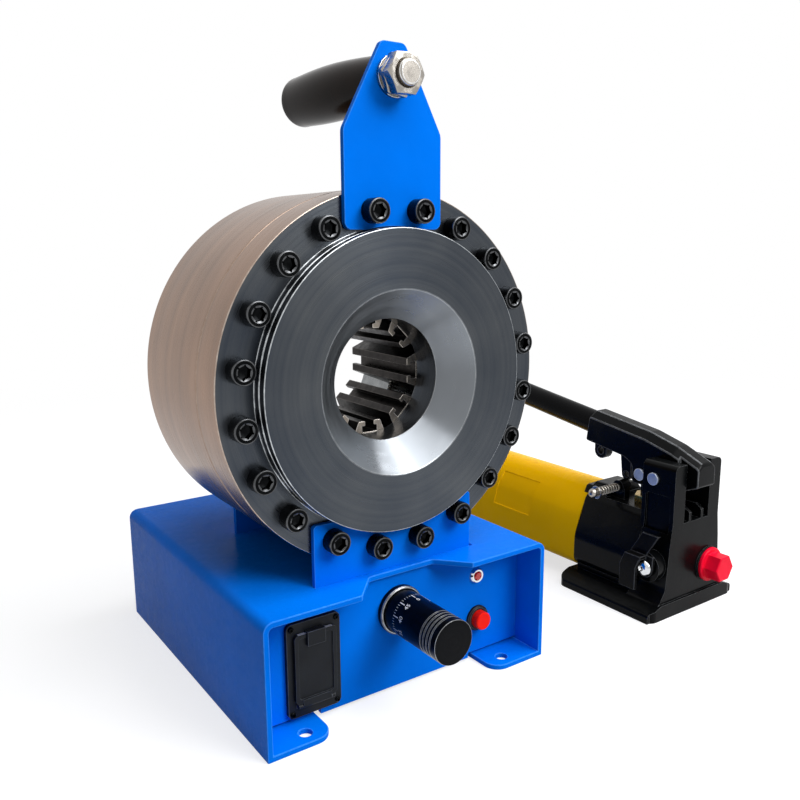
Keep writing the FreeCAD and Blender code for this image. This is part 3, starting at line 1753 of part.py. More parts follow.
def four_sided(points):
    return Part.Face(Part.makePolygon(points + points[:1]))


# Release lever
def wing_section(outer, shift, rise):
    # A slice of the bent plate, at a height above the spindle.
    near = release_y + shift - release_wing_width / 2
    far = near + release_wing_width
    z = release_z + rise
    corners = [
        FreeCAD.Vector(outer, near, z),
        FreeCAD.Vector(outer + release_plate, near, z),
        FreeCAD.Vector(outer + release_plate, far, z),
        FreeCAD.Vector(outer, far, z),
    ]
    return Part.makePolygon(corners + [corners[0]])


def wing_loft(sections):
    return Part.makeLoft([wing_section(*section) for section in sections], True, True)


def release_lever():
    # The plate lies on the spindle, steps out past the screw head and hangs beside it.
    seat = -release_face() - battery_lid_gap
    inner = seat - release_plate
    outer = inner - release_step
    half = release_wing_width / 2
    hub = rod("x", release_hub_radius, inner, seat, release_y, release_z)
    tab = block(inner, seat, release_y - release_hub_radius, release_y + release_hub_radius,
                release_z, release_z + release_fold_up)
    upper = wing_loft([
        (inner, -release_wing_lean + release_fold_shift, release_wing_up),
        (inner, release_fold_shift, release_fold_up),
        (inner, release_fold_shift, release_fold_up - release_plate),
    ])
    fold_near = release_y + release_fold_shift - half
    step = block(outer, seat, fold_near, fold_near + release_wing_width,
                 release_z + release_fold_up - release_plate, release_z + release_fold_up)
    lower = wing_loft([
        (outer, release_fold_shift, release_fold_up),
        (outer, release_low_shift, 0),
        (outer, release_low_shift, -release_wing_down),
    ])
    plate = joined([hub, tab, upper, step, lower])
    hole = rod("x", release_screw_shank + thread_clearance, inner, seat, release_y, release_z)
    return placed(plate.cut(hole))


def release_spindle():
    seat = -release_face() - battery_lid_gap
    body = rod("x", release_spindle_radius, seat, seat + release_depth, release_y, release_z)
    hole_radius = release_screw_shank + thread_clearance
    hole_end = seat + release_depth / 2
    hole = rod("x", hole_radius, seat, hole_end, release_y, release_z)
    return placed(body.cut(hole))


def release_screw():
    seat = -release_face() - battery_lid_gap - release_plate
    head = rod("x", release_screw_radius, seat - release_screw_height, seat, release_y, release_z)
    rims = [edge for edge in head.Edges if edge.isClosed()]
    outer = min(rims, key=lambda item: item.CenterOfMass.x)
    head = head.makeFillet(release_screw_height * 0.6, [outer])
    shank_end = seat + release_plate + release_depth / 2
    shank = rod("x", release_screw_shank, seat, shank_end, release_y, release_z)
    slot = block(
        seat - release_screw_height, seat - release_screw_height / 2,
        release_y - release_screw_radius, release_y + release_screw_radius,
        release_z - battery_lid_gap * 2, release_z + battery_lid_gap * 2)
    return placed(joined([head, shank]).cut(slot))


# Outlet plug
def outlet_plug():
    seat = -pump_ledge_width / 2
    flange = rod("y", plug_flange_radius, seat - plug_flange_thickness, seat, outlet_x, outlet_z)
    hex_end = seat - plug_flange_thickness
    head = hexagon("y", plug_hex_flats, hex_end - plug_hex_length, hex_end, outlet_x, outlet_z)
    shank = rod("y", plug_shank_radius, seat, seat + plug_shank_length, outlet_x, outlet_z)
    return placed(joined([flange, head, shank]))


def jaw_with_spring(index):
    # Each jaw carries the spring that pushes its neighbour away.
    angle = 2 * jaw_half_angle * index
    return Part.makeCompound([turn_about_head(shape, angle) for shape in (jaw(), jaw_spring())])


def main():
    os.makedirs("parts", exist_ok=True)
    makers = [
        base_frame, front_panel, rear_panel, front_saddle_plate, rear_saddle_plate, handle_plate,
        front_flange, cylinder_barrel, ring_screws, plate_screws, rod_seal,
        ram, ram_tube, ram_seal, inlet_coupler, travel_feeler, feeler_screw,
        dial_ring, dial_nut, dial_drum, dial_spindle, micro_switch,
        battery_box, battery_lid, battery, battery_box_screws,
        lamp_bezel, lamp_lens, button_bezel, button_cap, panel_nuts,
        handle_grip, handle_bolt, handle_washer, handle_nut,
        pump_body, pump_reservoir, reservoir_end_cap, filler_plug,
        pump_handle, handle_tube, handle_tube_plug, fulcrum_pin, link_pin, plunger, plunger_gland,
        lock_pin, lock_spring, release_lever, release_spindle, release_screw, outlet_plug,
    ]
    for make in makers:
        export(make.__name__, make())
    for index in range(jaw_count):
        export("jaw_%d" % (index + 1), jaw_with_spring(index))


main()
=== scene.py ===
import bpy
import bmesh
import math
from mathutils import Matrix, Vector
from mathutils.bvhtree import BVHTree

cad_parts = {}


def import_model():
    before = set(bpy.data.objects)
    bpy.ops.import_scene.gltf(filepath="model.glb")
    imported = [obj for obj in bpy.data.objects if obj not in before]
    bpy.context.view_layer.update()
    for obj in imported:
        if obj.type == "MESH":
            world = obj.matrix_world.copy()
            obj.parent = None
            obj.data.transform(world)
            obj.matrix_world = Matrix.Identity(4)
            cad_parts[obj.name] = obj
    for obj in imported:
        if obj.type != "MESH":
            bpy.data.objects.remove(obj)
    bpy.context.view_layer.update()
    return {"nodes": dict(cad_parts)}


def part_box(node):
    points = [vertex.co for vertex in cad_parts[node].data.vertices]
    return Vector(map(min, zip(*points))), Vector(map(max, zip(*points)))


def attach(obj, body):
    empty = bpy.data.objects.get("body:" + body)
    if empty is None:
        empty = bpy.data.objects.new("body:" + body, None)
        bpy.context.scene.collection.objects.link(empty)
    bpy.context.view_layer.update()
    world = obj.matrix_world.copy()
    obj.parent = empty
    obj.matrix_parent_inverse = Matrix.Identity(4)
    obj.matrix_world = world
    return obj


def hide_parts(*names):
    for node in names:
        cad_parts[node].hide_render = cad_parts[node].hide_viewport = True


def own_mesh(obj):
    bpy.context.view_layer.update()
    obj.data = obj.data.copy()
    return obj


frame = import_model()
mm = 0.001
scene = bpy.context.scene

# Places and sizes in millimetres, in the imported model's frame
head_height = 223.1
boss_face = -111.05
ring_face = -97.55
jaw_plane = -68.55
barrel_back = 23.45
barrel_floor = 7.45
plate_sheet = 4.0
ring_radius = 126.5
boss_radius = 101.1
boss_groove = (6.4, 1.2, 0.8)
lead_in_radius = 61.9
lead_in_depth = 19.7
bore_radius = 41.3
barrel_bore = 104.0
tube_bore = 88.05
seam_width = 1.2
seam_depth = 0.6
head_segments = 240
flange_rounding = 0.6
barrel_rounding = 1.2
skin_band = 0.9
cone_band = 0.2
seam_reach = 3.0
rim_reach = 2.0
# Shares of the pale edge colour, partly rubbing and partly a painted highlight, on sheltered edges and on the
# flange's rim
sheltered_wear_and_glint = 0.25
rim_wear_and_glint = 0.5

screw_circle = 112.5
screw_count = 20
screw_head_radius = 8.0
screw_head_height = 10.0
socket_flats = 8.0
socket_depth = 5.0
plate_screw_angles = (9, -9, 153, 171, 189, 207)
rear_screw_angles = (153, 171, 189, 207)

grip_height = 416.0
grip_start = -97.25
grip_length = 115.0
grip_neck = 14.0
grip_swell = 18.6
grip_shoulder = 17.6
grip_end = 16.4
grip_counterbore = (12.6, 13.0)
grip_rounded = 5.0
grip_bolt_play = 0.06
bolt_radius = 8.0
nut_flats = 24.0
nut_length = 12.6
jam_nut_length = 5.0
jam_nut_turn = 8
nut_gap = 0.1
washer_radius = 13.0
washer_length = 2.6

panel_face = -103.05
dial_height = 61.0
drum_radius = 15.5
drum_front = -165.05
drum_back = -108.35
drum_bore = 10.0
drum_wall = 6.0
drum_grooves = 4
drum_groove_start = 5.0
drum_groove_pitch = 3.4
drum_groove_width = 1.1
drum_groove_depth = 0.9
dial_divisions = 50
numeral_step = 5
numeral_size = 4.59
ink_depth = 0.05
ink_lift = 0.02
tick_start = 9.6
tick_length = 5.4
tick_width = 0.6
small_tick_width = 0.25
numeral_place = 19.6

lamp_place = (71.0, 68.0)
lamp_radius = 6.3
lamp_height = 2.4
lamp_lens_radius = 3.4
button_place = (72.0, 33.5)
button_ring_radius = 10.0
button_ring_height = 3.0
button_radius = 6.9
button_front = -112.05
button_depth = 8.0

box_place = (-70.1, 41.3)
box_size = (40.0, 66.5)
box_front = -106.55
box_screw_inset = 3.2
box_screw_radius = 2.0
box_screw_height = 1.2
lid_front = -109.45
lid_ledge = 2.5
latch_width = 13.4
latch_low = 58.5
latch_high = 68.6
latch_proud = 1.6

lock_place = (-74.55, 95.0)
lock_boss_face = 262.5
lock_spring_end = 234.5
lock_coil_radius = 3.3
lock_coil_wire = 0.65
lock_coil_turns = 8
lock_coil_play = 0.25
release_place = (-129.55, 43.0)
release_face = 233.6
release_screw_radius = 7.5
release_screw_height = 4.0
tank_side_top = 46.0
tank_shoulder = (35.5, 63.0)
tank_top = 88.5
tank_corner = 8.0
tank_corner_steps = 6
tank_arch_steps = 12
panel_start = 60.0
panel_length = 54.0
panel_low = 44.0
panel_high = 78.0
panel_lip = (1.0, 0.35)
panel_drop = (0.6, -0.7)
plug_place = (300.5, 36.0)
plug_seat = -146.05
plug_flats = 21.0
plug_rim_radius = 15.0
plug_rim_length = 3.4
plug_head_length = 13.0
plug_break = 0.8

jaw_count = 8
spring_circle = 50.0
spring_radius = 4.2
spring_length = 24.0
spring_wire = 0.7
spring_turns = 9
jaw_middle = -30.95
jaw_rounding = 0.5

least_rounding = 0.1

# The photograph's camera: its turns in degrees, its place and its lens in millimetres
camera_yaw = 34.92
camera_pitch = 11.25
camera_roll = -0.36
camera_place = (-306.1, -544.8, 317.7)
camera_lens = 36.79

# Studio: the floor's glow for the eye, where it fades to white in metres, and the sky's plain light
floor_lift = 0.68
fade_start = 0.45
fade_end = 1.3
world_light = 0.22


# Node trees
def linear(code):
    """An sRGB hex colour as the linear values that Blender works in."""
    values = [int(code[start:start + 2], 16) / 255 for start in (0, 2, 4)]
    return [v / 12.92 if v <= 0.04045 else ((v + 0.055) / 1.055) ** 2.4 for v in values] + [1.0]


def add(tree, kind, settings=None, links=None):
    """Adds one node. Settings set its inputs or its own values, and links feed its inputs."""
    node = tree.nodes.new(kind)
    for key, value in (settings or {}).items():
        if isinstance(key, int) or key in node.inputs:
            node.inputs[key].default_value = value
        else:
            setattr(node, key, value)
    for key, (source, output) in (links or {}).items():
        tree.links.new(source.outputs[output], node.inputs[key])
    return node


def start_material(name):
    material = bpy.data.materials.new(name)
    material.use_nodes = True
    tree = material.node_tree
    tree.nodes.clear()
    place = add(tree, "ShaderNodeTexCoord")
    return material, tree, (place, "Object")


def spread(tree, value, low, high):
    """A noise value stretched to run from low to high."""
    return add(tree, "ShaderNodeMapRange", {"From Min": 0.3, "From Max": 0.7, "To Min": low, "To Max": high},
               {"Value": value}), "Result"


def noise(tree, place, size, detail=3.0, roughness=0.5):
    """Cloudy noise whose blotches are about size millimetres across."""
    node = add(tree, "ShaderNodeTexNoise",
               {"Scale": 1 / (size * mm), "Detail": detail, "Roughness": roughness}, {"Vector": place})
    return node, "Fac"


def blend_colour(tree, factor, first, second):
    """Mixes two colours. Each is a hex colour or another node's output."""
    settings = {"data_type": "RGBA"}
    links = {}
    for socket, colour in ((6, first), (7, second)):
        if isinstance(colour, str):
            settings[socket] = linear(colour)
        else:
            links[socket] = colour
    node = add(tree, "ShaderNodeMix", settings)
    tree.links.new(factor[0].outputs[factor[1]], node.inputs[0])
    for socket, colour in links.items():
        tree.links.new(colour[0].outputs[colour[1]], node.inputs[socket])
    return node, 2


def worn_edges(tree, place, amount):
    """How much of a rounded edge is painted pale, in patches of a few millimetres: partly bared by rubbing,
    partly a painted highlight along the edge.
    """
    edge = add(tree, "ShaderNodeAttribute", {"attribute_name": "edge_wear_and_glint"})
    patches = spread(tree, noise(tree, place, 4.0), amount * 0.45, amount)
    return add(tree, "ShaderNodeMath", {"operation": "MULTIPLY", "use_clamp": True},
               {0: (edge, "Fac"), 1: patches}), "Value"


def bumps(tree, height, depth, strength=1.0, below=None):
    """Relief whose full height is depth millimetres, laid over the relief below it."""
    links = {"Height": height}
    if below:
        links["Normal"] = below
    return add(tree, "ShaderNodeBump", {"Strength": strength, "Distance": depth * mm}, links), "Normal"


def end_material(material, tree, settings, links):
    shader = add(tree, "ShaderNodeBsdfPrincipled", settings, links)
    add(tree, "ShaderNodeOutputMaterial", None, {"Surface": (shader, "BSDF")})
    return material


def painted(name, colour, shade, worn_and_glint_colour, wear_and_glint, roughness, peel, gloss, ripple=0.0, clouds=60.0):
    """Paint with cloudy colour, an orange-peel skin, slow ripples and edges painted paler, partly bared by
    rubbing and partly a painted highlight.
    """
    material, tree, place = start_material(name)
    clouded = blend_colour(tree, spread(tree, noise(tree, place, clouds), 0.0, 1.0), colour, shade)
    base = blend_colour(tree, worn_edges(tree, place, wear_and_glint), clouded, worn_and_glint_colour)
    rough = spread(tree, noise(tree, place, 9.0), roughness * 0.8, roughness * 1.25)
    skin = bumps(tree, noise(tree, place, 3.0, 1.0), peel)
    if ripple:
        skin = bumps(tree, noise(tree, place, 14.0, 1.0), ripple, 1.0, skin)
    return end_material(material, tree, {"IOR": 1.5, "Specular IOR Level": gloss},
                        {"Base Color": base, "Roughness": rough, "Normal": skin})


def moulded(name, colour, shade, worn_and_glint_colour, roughness, grain, depth, gloss=0.5):
    """Moulded plastic or rubber with a fine skin of grain millimetres."""
    material, tree, place = start_material(name)
    clouded = blend_colour(tree, spread(tree, noise(tree, place, 18.0), 0.0, 1.0), colour, shade)
    base = blend_colour(tree, worn_edges(tree, place, 0.7), clouded, worn_and_glint_colour)
    rough = spread(tree, noise(tree, place, 5.0), roughness * 0.85, roughness * 1.2)
    skin = bumps(tree, noise(tree, place, grain, 2.0), depth)
    return end_material(material, tree, {"IOR": 1.5, "Specular IOR Level": gloss},
                        {"Base Color": base, "Roughness": rough, "Normal": skin})


def metal(name, colour, shade, worn_and_glint_colour, roughness, grain, depth, clouds=12.0):
    """Bare or plated metal with stains of clouds millimetres and a fine grain."""
    material, tree, place = start_material(name)
    stained = blend_colour(tree, spread(tree, noise(tree, place, clouds), 0.0, 1.0), colour, shade)
    base = blend_colour(tree, worn_edges(tree, place, 0.9), stained, worn_and_glint_colour)
    rough = spread(tree, noise(tree, place, 3.0), roughness * 0.75, roughness * 1.3)
    skin = bumps(tree, noise(tree, place, grain, 2.0), depth)
    return end_material(material, tree, {"Metallic": 1.0},
                        {"Base Color": base, "Roughness": rough, "Normal": skin})


def lathe_place(tree, place, height, ring):
    """Coordinates for lathe marks about a level axis, where one ring is ring millimetres wide."""
    centred = add(tree, "ShaderNodeMapping", {"Location": (0, 0, -height * mm), "Scale": (1, 0, 1)},
                  {"Vector": place})
    radius = add(tree, "ShaderNodeVectorMath", {"operation": "LENGTH"}, {0: (centred, "Vector")})
    around = add(tree, "ShaderNodeVectorMath", {"operation": "NORMALIZE"}, {0: (centred, "Vector")})
    axes = add(tree, "ShaderNodeSeparateXYZ", None, {"Vector": (around, "Vector")})
    along = add(tree, "ShaderNodeSeparateXYZ", None, {"Vector": place})
    rings = add(tree, "ShaderNodeMath", {"operation": "ADD"}, {0: (radius, "Value"), 1: (along, "Y")})
    fine = add(tree, "ShaderNodeMath", {"operation": "MULTIPLY", 1: 1 / (ring * mm)}, {0: (rings, "Value")})
    return add(tree, "ShaderNodeCombineXYZ", None,
               {"X": (fine, "Value"), "Y": (axes, "X"), "Z": (axes, "Z")}), "Vector"


def turned_metal(name, colour, shade, worn_and_glint_colour, roughness, ring, depth, height, anisotropy, streak=0.5):
    """Steel from a lathe: fine rings that catch the light across them, with slow stains between."""
    material, tree, place = start_material(name)
    rings = lathe_place(tree, place, height, ring)
    fine = add(tree, "ShaderNodeTexNoise", {"Scale": 1.0, "Detail": 3.0, "Roughness": 0.6},
               {"Vector": rings})
    slow = add(tree, "ShaderNodeTexNoise", {"Scale": 0.08, "Detail": 2.0, "Roughness": 0.5},
               {"Vector": rings})
    stains = spread(tree, noise(tree, place, 70.0), 0.0, 1.0 - streak)
    marks = spread(tree, (slow, "Fac"), 0.0, streak)
    both = add(tree, "ShaderNodeMath", {"operation": "ADD", "use_clamp": True}, {0: stains, 1: marks})
    stained = blend_colour(tree, (both, "Value"), colour, shade)
    base = blend_colour(tree, worn_edges(tree, place, 1.0), stained, worn_and_glint_colour)
    rough = spread(tree, (fine, "Fac"), roughness * 0.8, roughness * 1.25)
    skin = bumps(tree, (fine, "Fac"), depth)
    grain = add(tree, "ShaderNodeTangent", {"direction_type": "UV_MAP", "uv_map": "turning"})
    return end_material(material, tree, {"Metallic": 1.0, "Anisotropic": anisotropy},
                        {"Base Color": base, "Roughness": rough, "Normal": skin,
                         "Tangent": (grain, "Tangent")})


# Enamel sprayed on sheet steel: deep colour with a soft sheen over orange peel, paler along the edges, partly
# where they rub and partly as a painted highlight
blue_enamel = painted("blue_enamel", "0074EC", "0069D8", "4C98F8", 0.5, 0.26, 0.02, 0.015, 0.05, 90.0)
# Face-turned flange steel, its colour painted dark as a painted reflection of dark surroundings: rings of the
# cutting tool and a radial sheen
steel_painted_dark = turned_metal("steel_painted_dark", "54575A", "353B44", "C9CDD0", 0.3, 0.35, 0.002,
                           head_height, 0.6, 0.35)
# The same steel on the bore's cone, its colour painted bright as a painted reflection of a bright floor, with
# a broad radial sheen
steel_painted_bright = turned_metal("steel_painted_bright", "8B9095", "66696D", "F2F4F5", 0.3, 0.3, 0.002,
                                 head_height, 0.75)
# Turned outer skin of the cylinder, ground smooth: warm tan with faint bands round it, and a pale rim that is
# partly rubbed and partly a painted highlight
ground_barrel_steel = turned_metal("ground_barrel_steel", "977761", "745E50", "DDD5CC", 0.24, 0.8, 0.002,
                                   head_height, 0.5)
# Turned black-anodised aluminium of the dial: satin, with pale edges, partly rubbed and partly a painted
# highlight
black_anodised = turned_metal("black_anodised", "17181A", "0B0C0E", "A4A6A8", 0.34, 0.3, 0.002,
                              dial_height, 0.3)
# Machined and oiled steel of the ram and the plunger
machined_steel = metal("machined_steel", "8F9192", "77797B", "D4D6D6", 0.3, 0.8, 0.004)
# Jaws of blackened tool steel: the ends are ground bright, the sides keep their dark skin
blackened_jaw_steel = metal("blackened_jaw_steel", "2F2B29", "1F1C1B", "5A5653", 0.36, 1.0, 0.006)
ground_jaw_end = metal("ground_jaw_end", "A39A8F", "766E66", "D8D2CA", 0.3, 0.6, 0.003)
# Black oxide on cap screws: a dark oily skin with pale rims, partly rubbed and partly painted glints
black_oxide = metal("black_oxide", "151617", "0B0C0D", "9A9C9F", 0.3, 0.7, 0.006, 5.0)
# Bright zinc plate of the nut, pins and couplings
bright_zinc = metal("bright_zinc", "A9A49D", "8D8983", "F4F5F5", 0.27, 2.5, 0.003)
# The same plate on the ends of the pump's pins, dulled by handling
dulled_zinc = metal("dulled_zinc", "A9B4C6", "8F9BB0", "EDF1F6", 0.5, 0.9, 0.003)
# Polished chrome of the lamp ring and the release screw
polished_chrome = metal("polished_chrome", "D8D9DA", "C6C8CA", "F6F7F7", 0.07, 1.2, 0.001)
# Turned brass of the plunger's gland
turned_brass = metal("turned_brass", "B89A52", "94773A", "E7D08C", 0.28, 0.6, 0.004)
# Moulded ABS of the battery box: a fine spark-eroded skin
moulded_black = moulded("moulded_black", "191C20", "121418", "5B5F65", 0.4, 0.7, 0.012, 0.14)
# The same ABS painted pale along the lid's ledge: a painted highlight where the ledge would catch the light
ledge_painted_pale = moulded("ledge_painted_pale", "A2A4A8", "6E7074", "C8CACE", 0.3, 1.2, 0.006, 0.3)
# Polished phenolic grip: deep brown-black with a hard gloss
polished_grip = moulded("polished_grip", "20140D", "150C07", "3A3330", 0.16, 5.0, 0.004, 0.07)
# Red moulded plastic of the push button and the plug
button_red = moulded("button_red", "FC2010", "EC180C", "FF6A55", 0.34, 0.8, 0.006, 0.08)
plug_red = moulded("plug_red", "F61036", "DE0B2E", "F0566C", 0.34, 1.0, 0.008, 0.08)
# Gloss paint on rough cast iron: the casting's lumps show under the paint, and pale edges are partly rubbed
# and partly a painted highlight
painted_casting = painted("painted_casting", "0A0B0C", "050607", "9A9DA1", 0.42, 0.22, 0.04, 0.07, 0.12, 30.0)
# Satin black paint on the handle tube
painted_tube = painted("painted_tube", "0D0D0E", "080809", "5C5E62", 0.6, 0.28, 0.02, 0.05, 0.0, 40.0)
# Yellow enamel of the oil tank
yellow_enamel = painted("yellow_enamel", "FFC400", "F6B900", "FFDC60", 0.25, 0.27, 0.02, 0.03, 0.04, 70.0)
# Black rubber of the seals
seal_rubber = moulded("seal_rubber", "17181A", "101112", "2E2F31", 0.6, 0.6, 0.01, 0.3)
# Plain grey wrap of the battery
battery_wrap = moulded("battery_wrap", "5B5E61", "4C4F52", "8A8D90", 0.3, 1.5, 0.004)
# White ink of the dial's scale
scale_ink = moulded("scale_ink", "E4E6E8", "C8CACC", "FFFFFF", 0.5, 0.5, 0.004)


def lens_material():
    """Clear red acrylic of the indicator lamp, which lets light through."""
    material, tree, place = start_material("red_acrylic")
    tint = blend_colour(tree, spread(tree, noise(tree, place, 1.5), 0.0, 1.0), "F03222", "CC1C12")
    rough = spread(tree, noise(tree, place, 1.0), 0.05, 0.12)
    skin = bumps(tree, noise(tree, place, 0.8, 1.0), 0.01)
    return end_material(material, tree, {"IOR": 1.49, "Transmission Weight": 0.15, "Coat Weight": 0.4},
                        {"Base Color": tint, "Roughness": rough, "Normal": skin})


red_acrylic = lens_material()


# Mesh building, in millimetres until a piece is finished
def round_corners(bm, width, segments=2, sharp=30.0):
    """Rounds every sharp edge and marks the new faces as places that are painted pale, partly bared by
    rubbing and partly a painted edge highlight.
    """
    wear_and_glint = bm.faces.layers.float.get("edge_wear_and_glint") or bm.faces.layers.float.new("edge_wear_and_glint")
    edges = [edge for edge in bm.edges
             if len(edge.link_faces) == 2 and edge.calc_face_angle(0.0) > math.radians(sharp)]
    made = bmesh.ops.bevel(bm, geom=edges, offset=width, offset_type="OFFSET", segments=segments,
                           profile=0.5, affect="EDGES", clamp_overlap=False, material=-1)
    for face in made["faces"]:
        face[wear_and_glint] = 1.0


def finish_piece(name, bm, finishes, body, replaced=(), crease=32.0):
    """Turns a mesh in millimetres into a piece that rides on a body and stands for CAD nodes."""
    bmesh.ops.remove_doubles(bm, verts=bm.verts, dist=0.002)
    bmesh.ops.recalc_face_normals(bm, faces=bm.faces)
    for face in bm.faces:
        face.smooth = True
    for edge in bm.edges:
        edge.smooth = edge.calc_face_angle(0.0) < math.radians(crease)
    bmesh.ops.scale(bm, vec=(mm, mm, mm), verts=bm.verts)
    mesh = bpy.data.meshes.new(name)
    bm.to_mesh(mesh)
    bm.free()
    for finish in finishes:
        mesh.materials.append(finish)
    piece = bpy.data.objects.new(name, mesh)
    scene.collection.objects.link(piece)
    weighting = piece.modifiers.new("flat_faces", "WEIGHTED_NORMAL")
    weighting.keep_sharp = True
    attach(piece, body)
    if replaced:
        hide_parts(*replaced)
    return piece


def wrap(bm, x, z):
    """Lays a map on a turned piece: across the lathe marks first, then round the axis at (x, z)."""
    layer = bm.loops.layers.uv.new("turning")
    for face in bm.faces:
        centre = face.calc_center_median()
        middle = math.atan2(centre.x - x, centre.z - z)
        for loop in face.loops:
            spot = loop.vert.co
            out = math.hypot(spot.x - x, spot.z - z)
            turn = math.atan2(spot.x - x, spot.z - z) if out > 0.001 else middle
            turn = middle + (turn - middle + math.pi) % math.tau - math.pi
            loop[layer].uv = ((out + spot.y) / 100, turn / math.tau)


def spun(profile, x, z, segments=96, closed=False):
    """Turns a profile of (radius, y) points round a level axis at (x, z)."""
    bm = bmesh.new()
    points = [bm.verts.new((x, y, z + radius)) for radius, y in profile]
    ends = zip(points, points[1:] + (points[:1] if closed else []))
    edges = [bm.edges.new(pair) for pair in ends]
    bmesh.ops.spin(bm, geom=points + edges, cent=(x, 0, z), axis=(0, 1, 0), angle=math.tau,
                   steps=segments, use_merge=True, use_duplicate=False)
    bmesh.ops.remove_doubles(bm, verts=bm.verts, dist=0.001)
    bmesh.ops.recalc_face_normals(bm, faces=bm.faces)
    return bm


def ringed(rings, segments=48):
    """A closed shape of rings along Y. Each ring is (y, radius, flats, slope): flats make it six-sided,
    and slope shifts its points along Y with their distance from the flats, as a nut's chamfer does."""
    bm = bmesh.new()
    made = bmesh.ops.create_circle(bm, segments=segments, radius=1.0)
    points = list(made["verts"])
    angles = [math.atan2(point.co.x, point.co.y) for point in points]
    first = list(bm.edges)
    edges = first
    for index, ring in enumerate(rings):
        y, radius, flats, slope = (tuple(ring) + (0, 0))[:4]
        if index:
            made = bmesh.ops.extrude_edge_only(bm, edges=edges)
            points = [item for item in made["geom"] if isinstance(item, bmesh.types.BMVert)]
            edges = [item for item in made["geom"] if isinstance(item, bmesh.types.BMEdge)]
            angles = [math.atan2(point.co.x, point.co.z) for point in points]
        for point, angle in zip(points, angles):
            reach = radius
            if flats:
                side = (angle + math.pi / 6) % (math.pi / 3) - math.pi / 6
                reach = min(radius, flats / 2 / math.cos(side))
            shift = slope * (reach - flats / 2) if flats else 0.0
            point.co = (reach * math.sin(angle), y + shift, reach * math.cos(angle))
    bmesh.ops.edgeloop_fill(bm, edges=edges)
    bmesh.ops.edgeloop_fill(bm, edges=first)
    bmesh.ops.recalc_face_normals(bm, faces=bm.faces)
    return bm


def moved(bm, matrix):
    bmesh.ops.transform(bm, matrix=matrix, verts=bm.verts)
    return bm


def about_x(x, y, z):
    """Turns a shape made along -Y so that it points along -X, and sets it at (x, y, z)."""
    return Matrix.Translation((x, y, z)) @ Matrix.Rotation(-math.pi / 2, 4, "Z")


def merged(bm, other):
    """Adds the other mesh to the first one. The other is used up."""
    mesh = bpy.data.meshes.new("other")
    other.to_mesh(mesh)
    other.free()
    bm.from_mesh(mesh)
    bpy.data.meshes.remove(mesh)
    return bm


def gathered(pattern, places):
    """One mesh that holds a copy of the pattern at each place. The pattern is used up."""
    mesh = bpy.data.meshes.new("pattern")
    pattern.to_mesh(mesh)
    pattern.free()
    bm = bmesh.new()
    for place in places:
        mesh.transform(place)
        bm.from_mesh(mesh)
        mesh.transform(place.inverted())
    bpy.data.meshes.remove(mesh)
    return bm


def on_head(angle):
    """Turns a shape from the top of the head's axis, clockwise seen from the front, to its place."""
    centre = Matrix.Translation((0, 0, head_height))
    return centre @ Matrix.Rotation(math.radians(angle), 4, "Y") @ Matrix.Translation((0, 0, screw_circle))


def coil(radius, wire, length, turns, steps=20):
    """A round-wire spring along +X from the origin, with closed flat ends."""
    bm = bmesh.new()
    made = bmesh.ops.create_circle(bm, segments=10, radius=wire)
    bmesh.ops.translate(bm, verts=made["verts"], vec=(wire, radius, 0))
    pitch = (length - 2 * wire) / turns
    start = list(bm.edges)
    made = bmesh.ops.spin(bm, geom=start, cent=(0, 0, 0), axis=(1, 0, 0), dvec=(pitch / steps, 0, 0),
                          angle=math.tau * turns, steps=int(turns * steps))
    end = [item for item in made["geom_last"] if isinstance(item, bmesh.types.BMEdge)]
    bmesh.ops.edgeloop_fill(bm, edges=start)
    bmesh.ops.edgeloop_fill(bm, edges=end)
    return bm


def from_cad(node):
    """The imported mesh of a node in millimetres, merged, with its flat faces in one piece."""
    bm = bmesh.new()
    bm.from_mesh(frame["nodes"][node].data)
    bmesh.ops.scale(bm, vec=(1 / mm, 1 / mm, 1 / mm), verts=bm.verts)
    bmesh.ops.remove_doubles(bm, verts=bm.verts, dist=0.002)
    bmesh.ops.dissolve_limit(bm, angle_limit=math.radians(0.3), verts=bm.verts, edges=bm.edges)
    return bm


def rounded_node(node, width, segments=2, cut=None):
    """A CAD node with its sharp edges rounded. The rounding shrinks until no point leaves the surface."""
    while True:
        bm = from_cad(node)
        if cut:
            cut(bm)
        skin = BVHTree.FromBMesh(bm)
        round_corners(bm, width, segments)
        if width < least_rounding or all(skin.find_nearest(vert.co)[3] < width for vert in bm.verts):
            return bm
        bm.free()
        width *= 0.8


def softened(node, width, finish, body, segments=2):
    """A CAD node with its sharp edges rounded, in its own finish."""
    return finish_piece(node + "_finished", rounded_node(node, width, segments), [finish], body, [node])


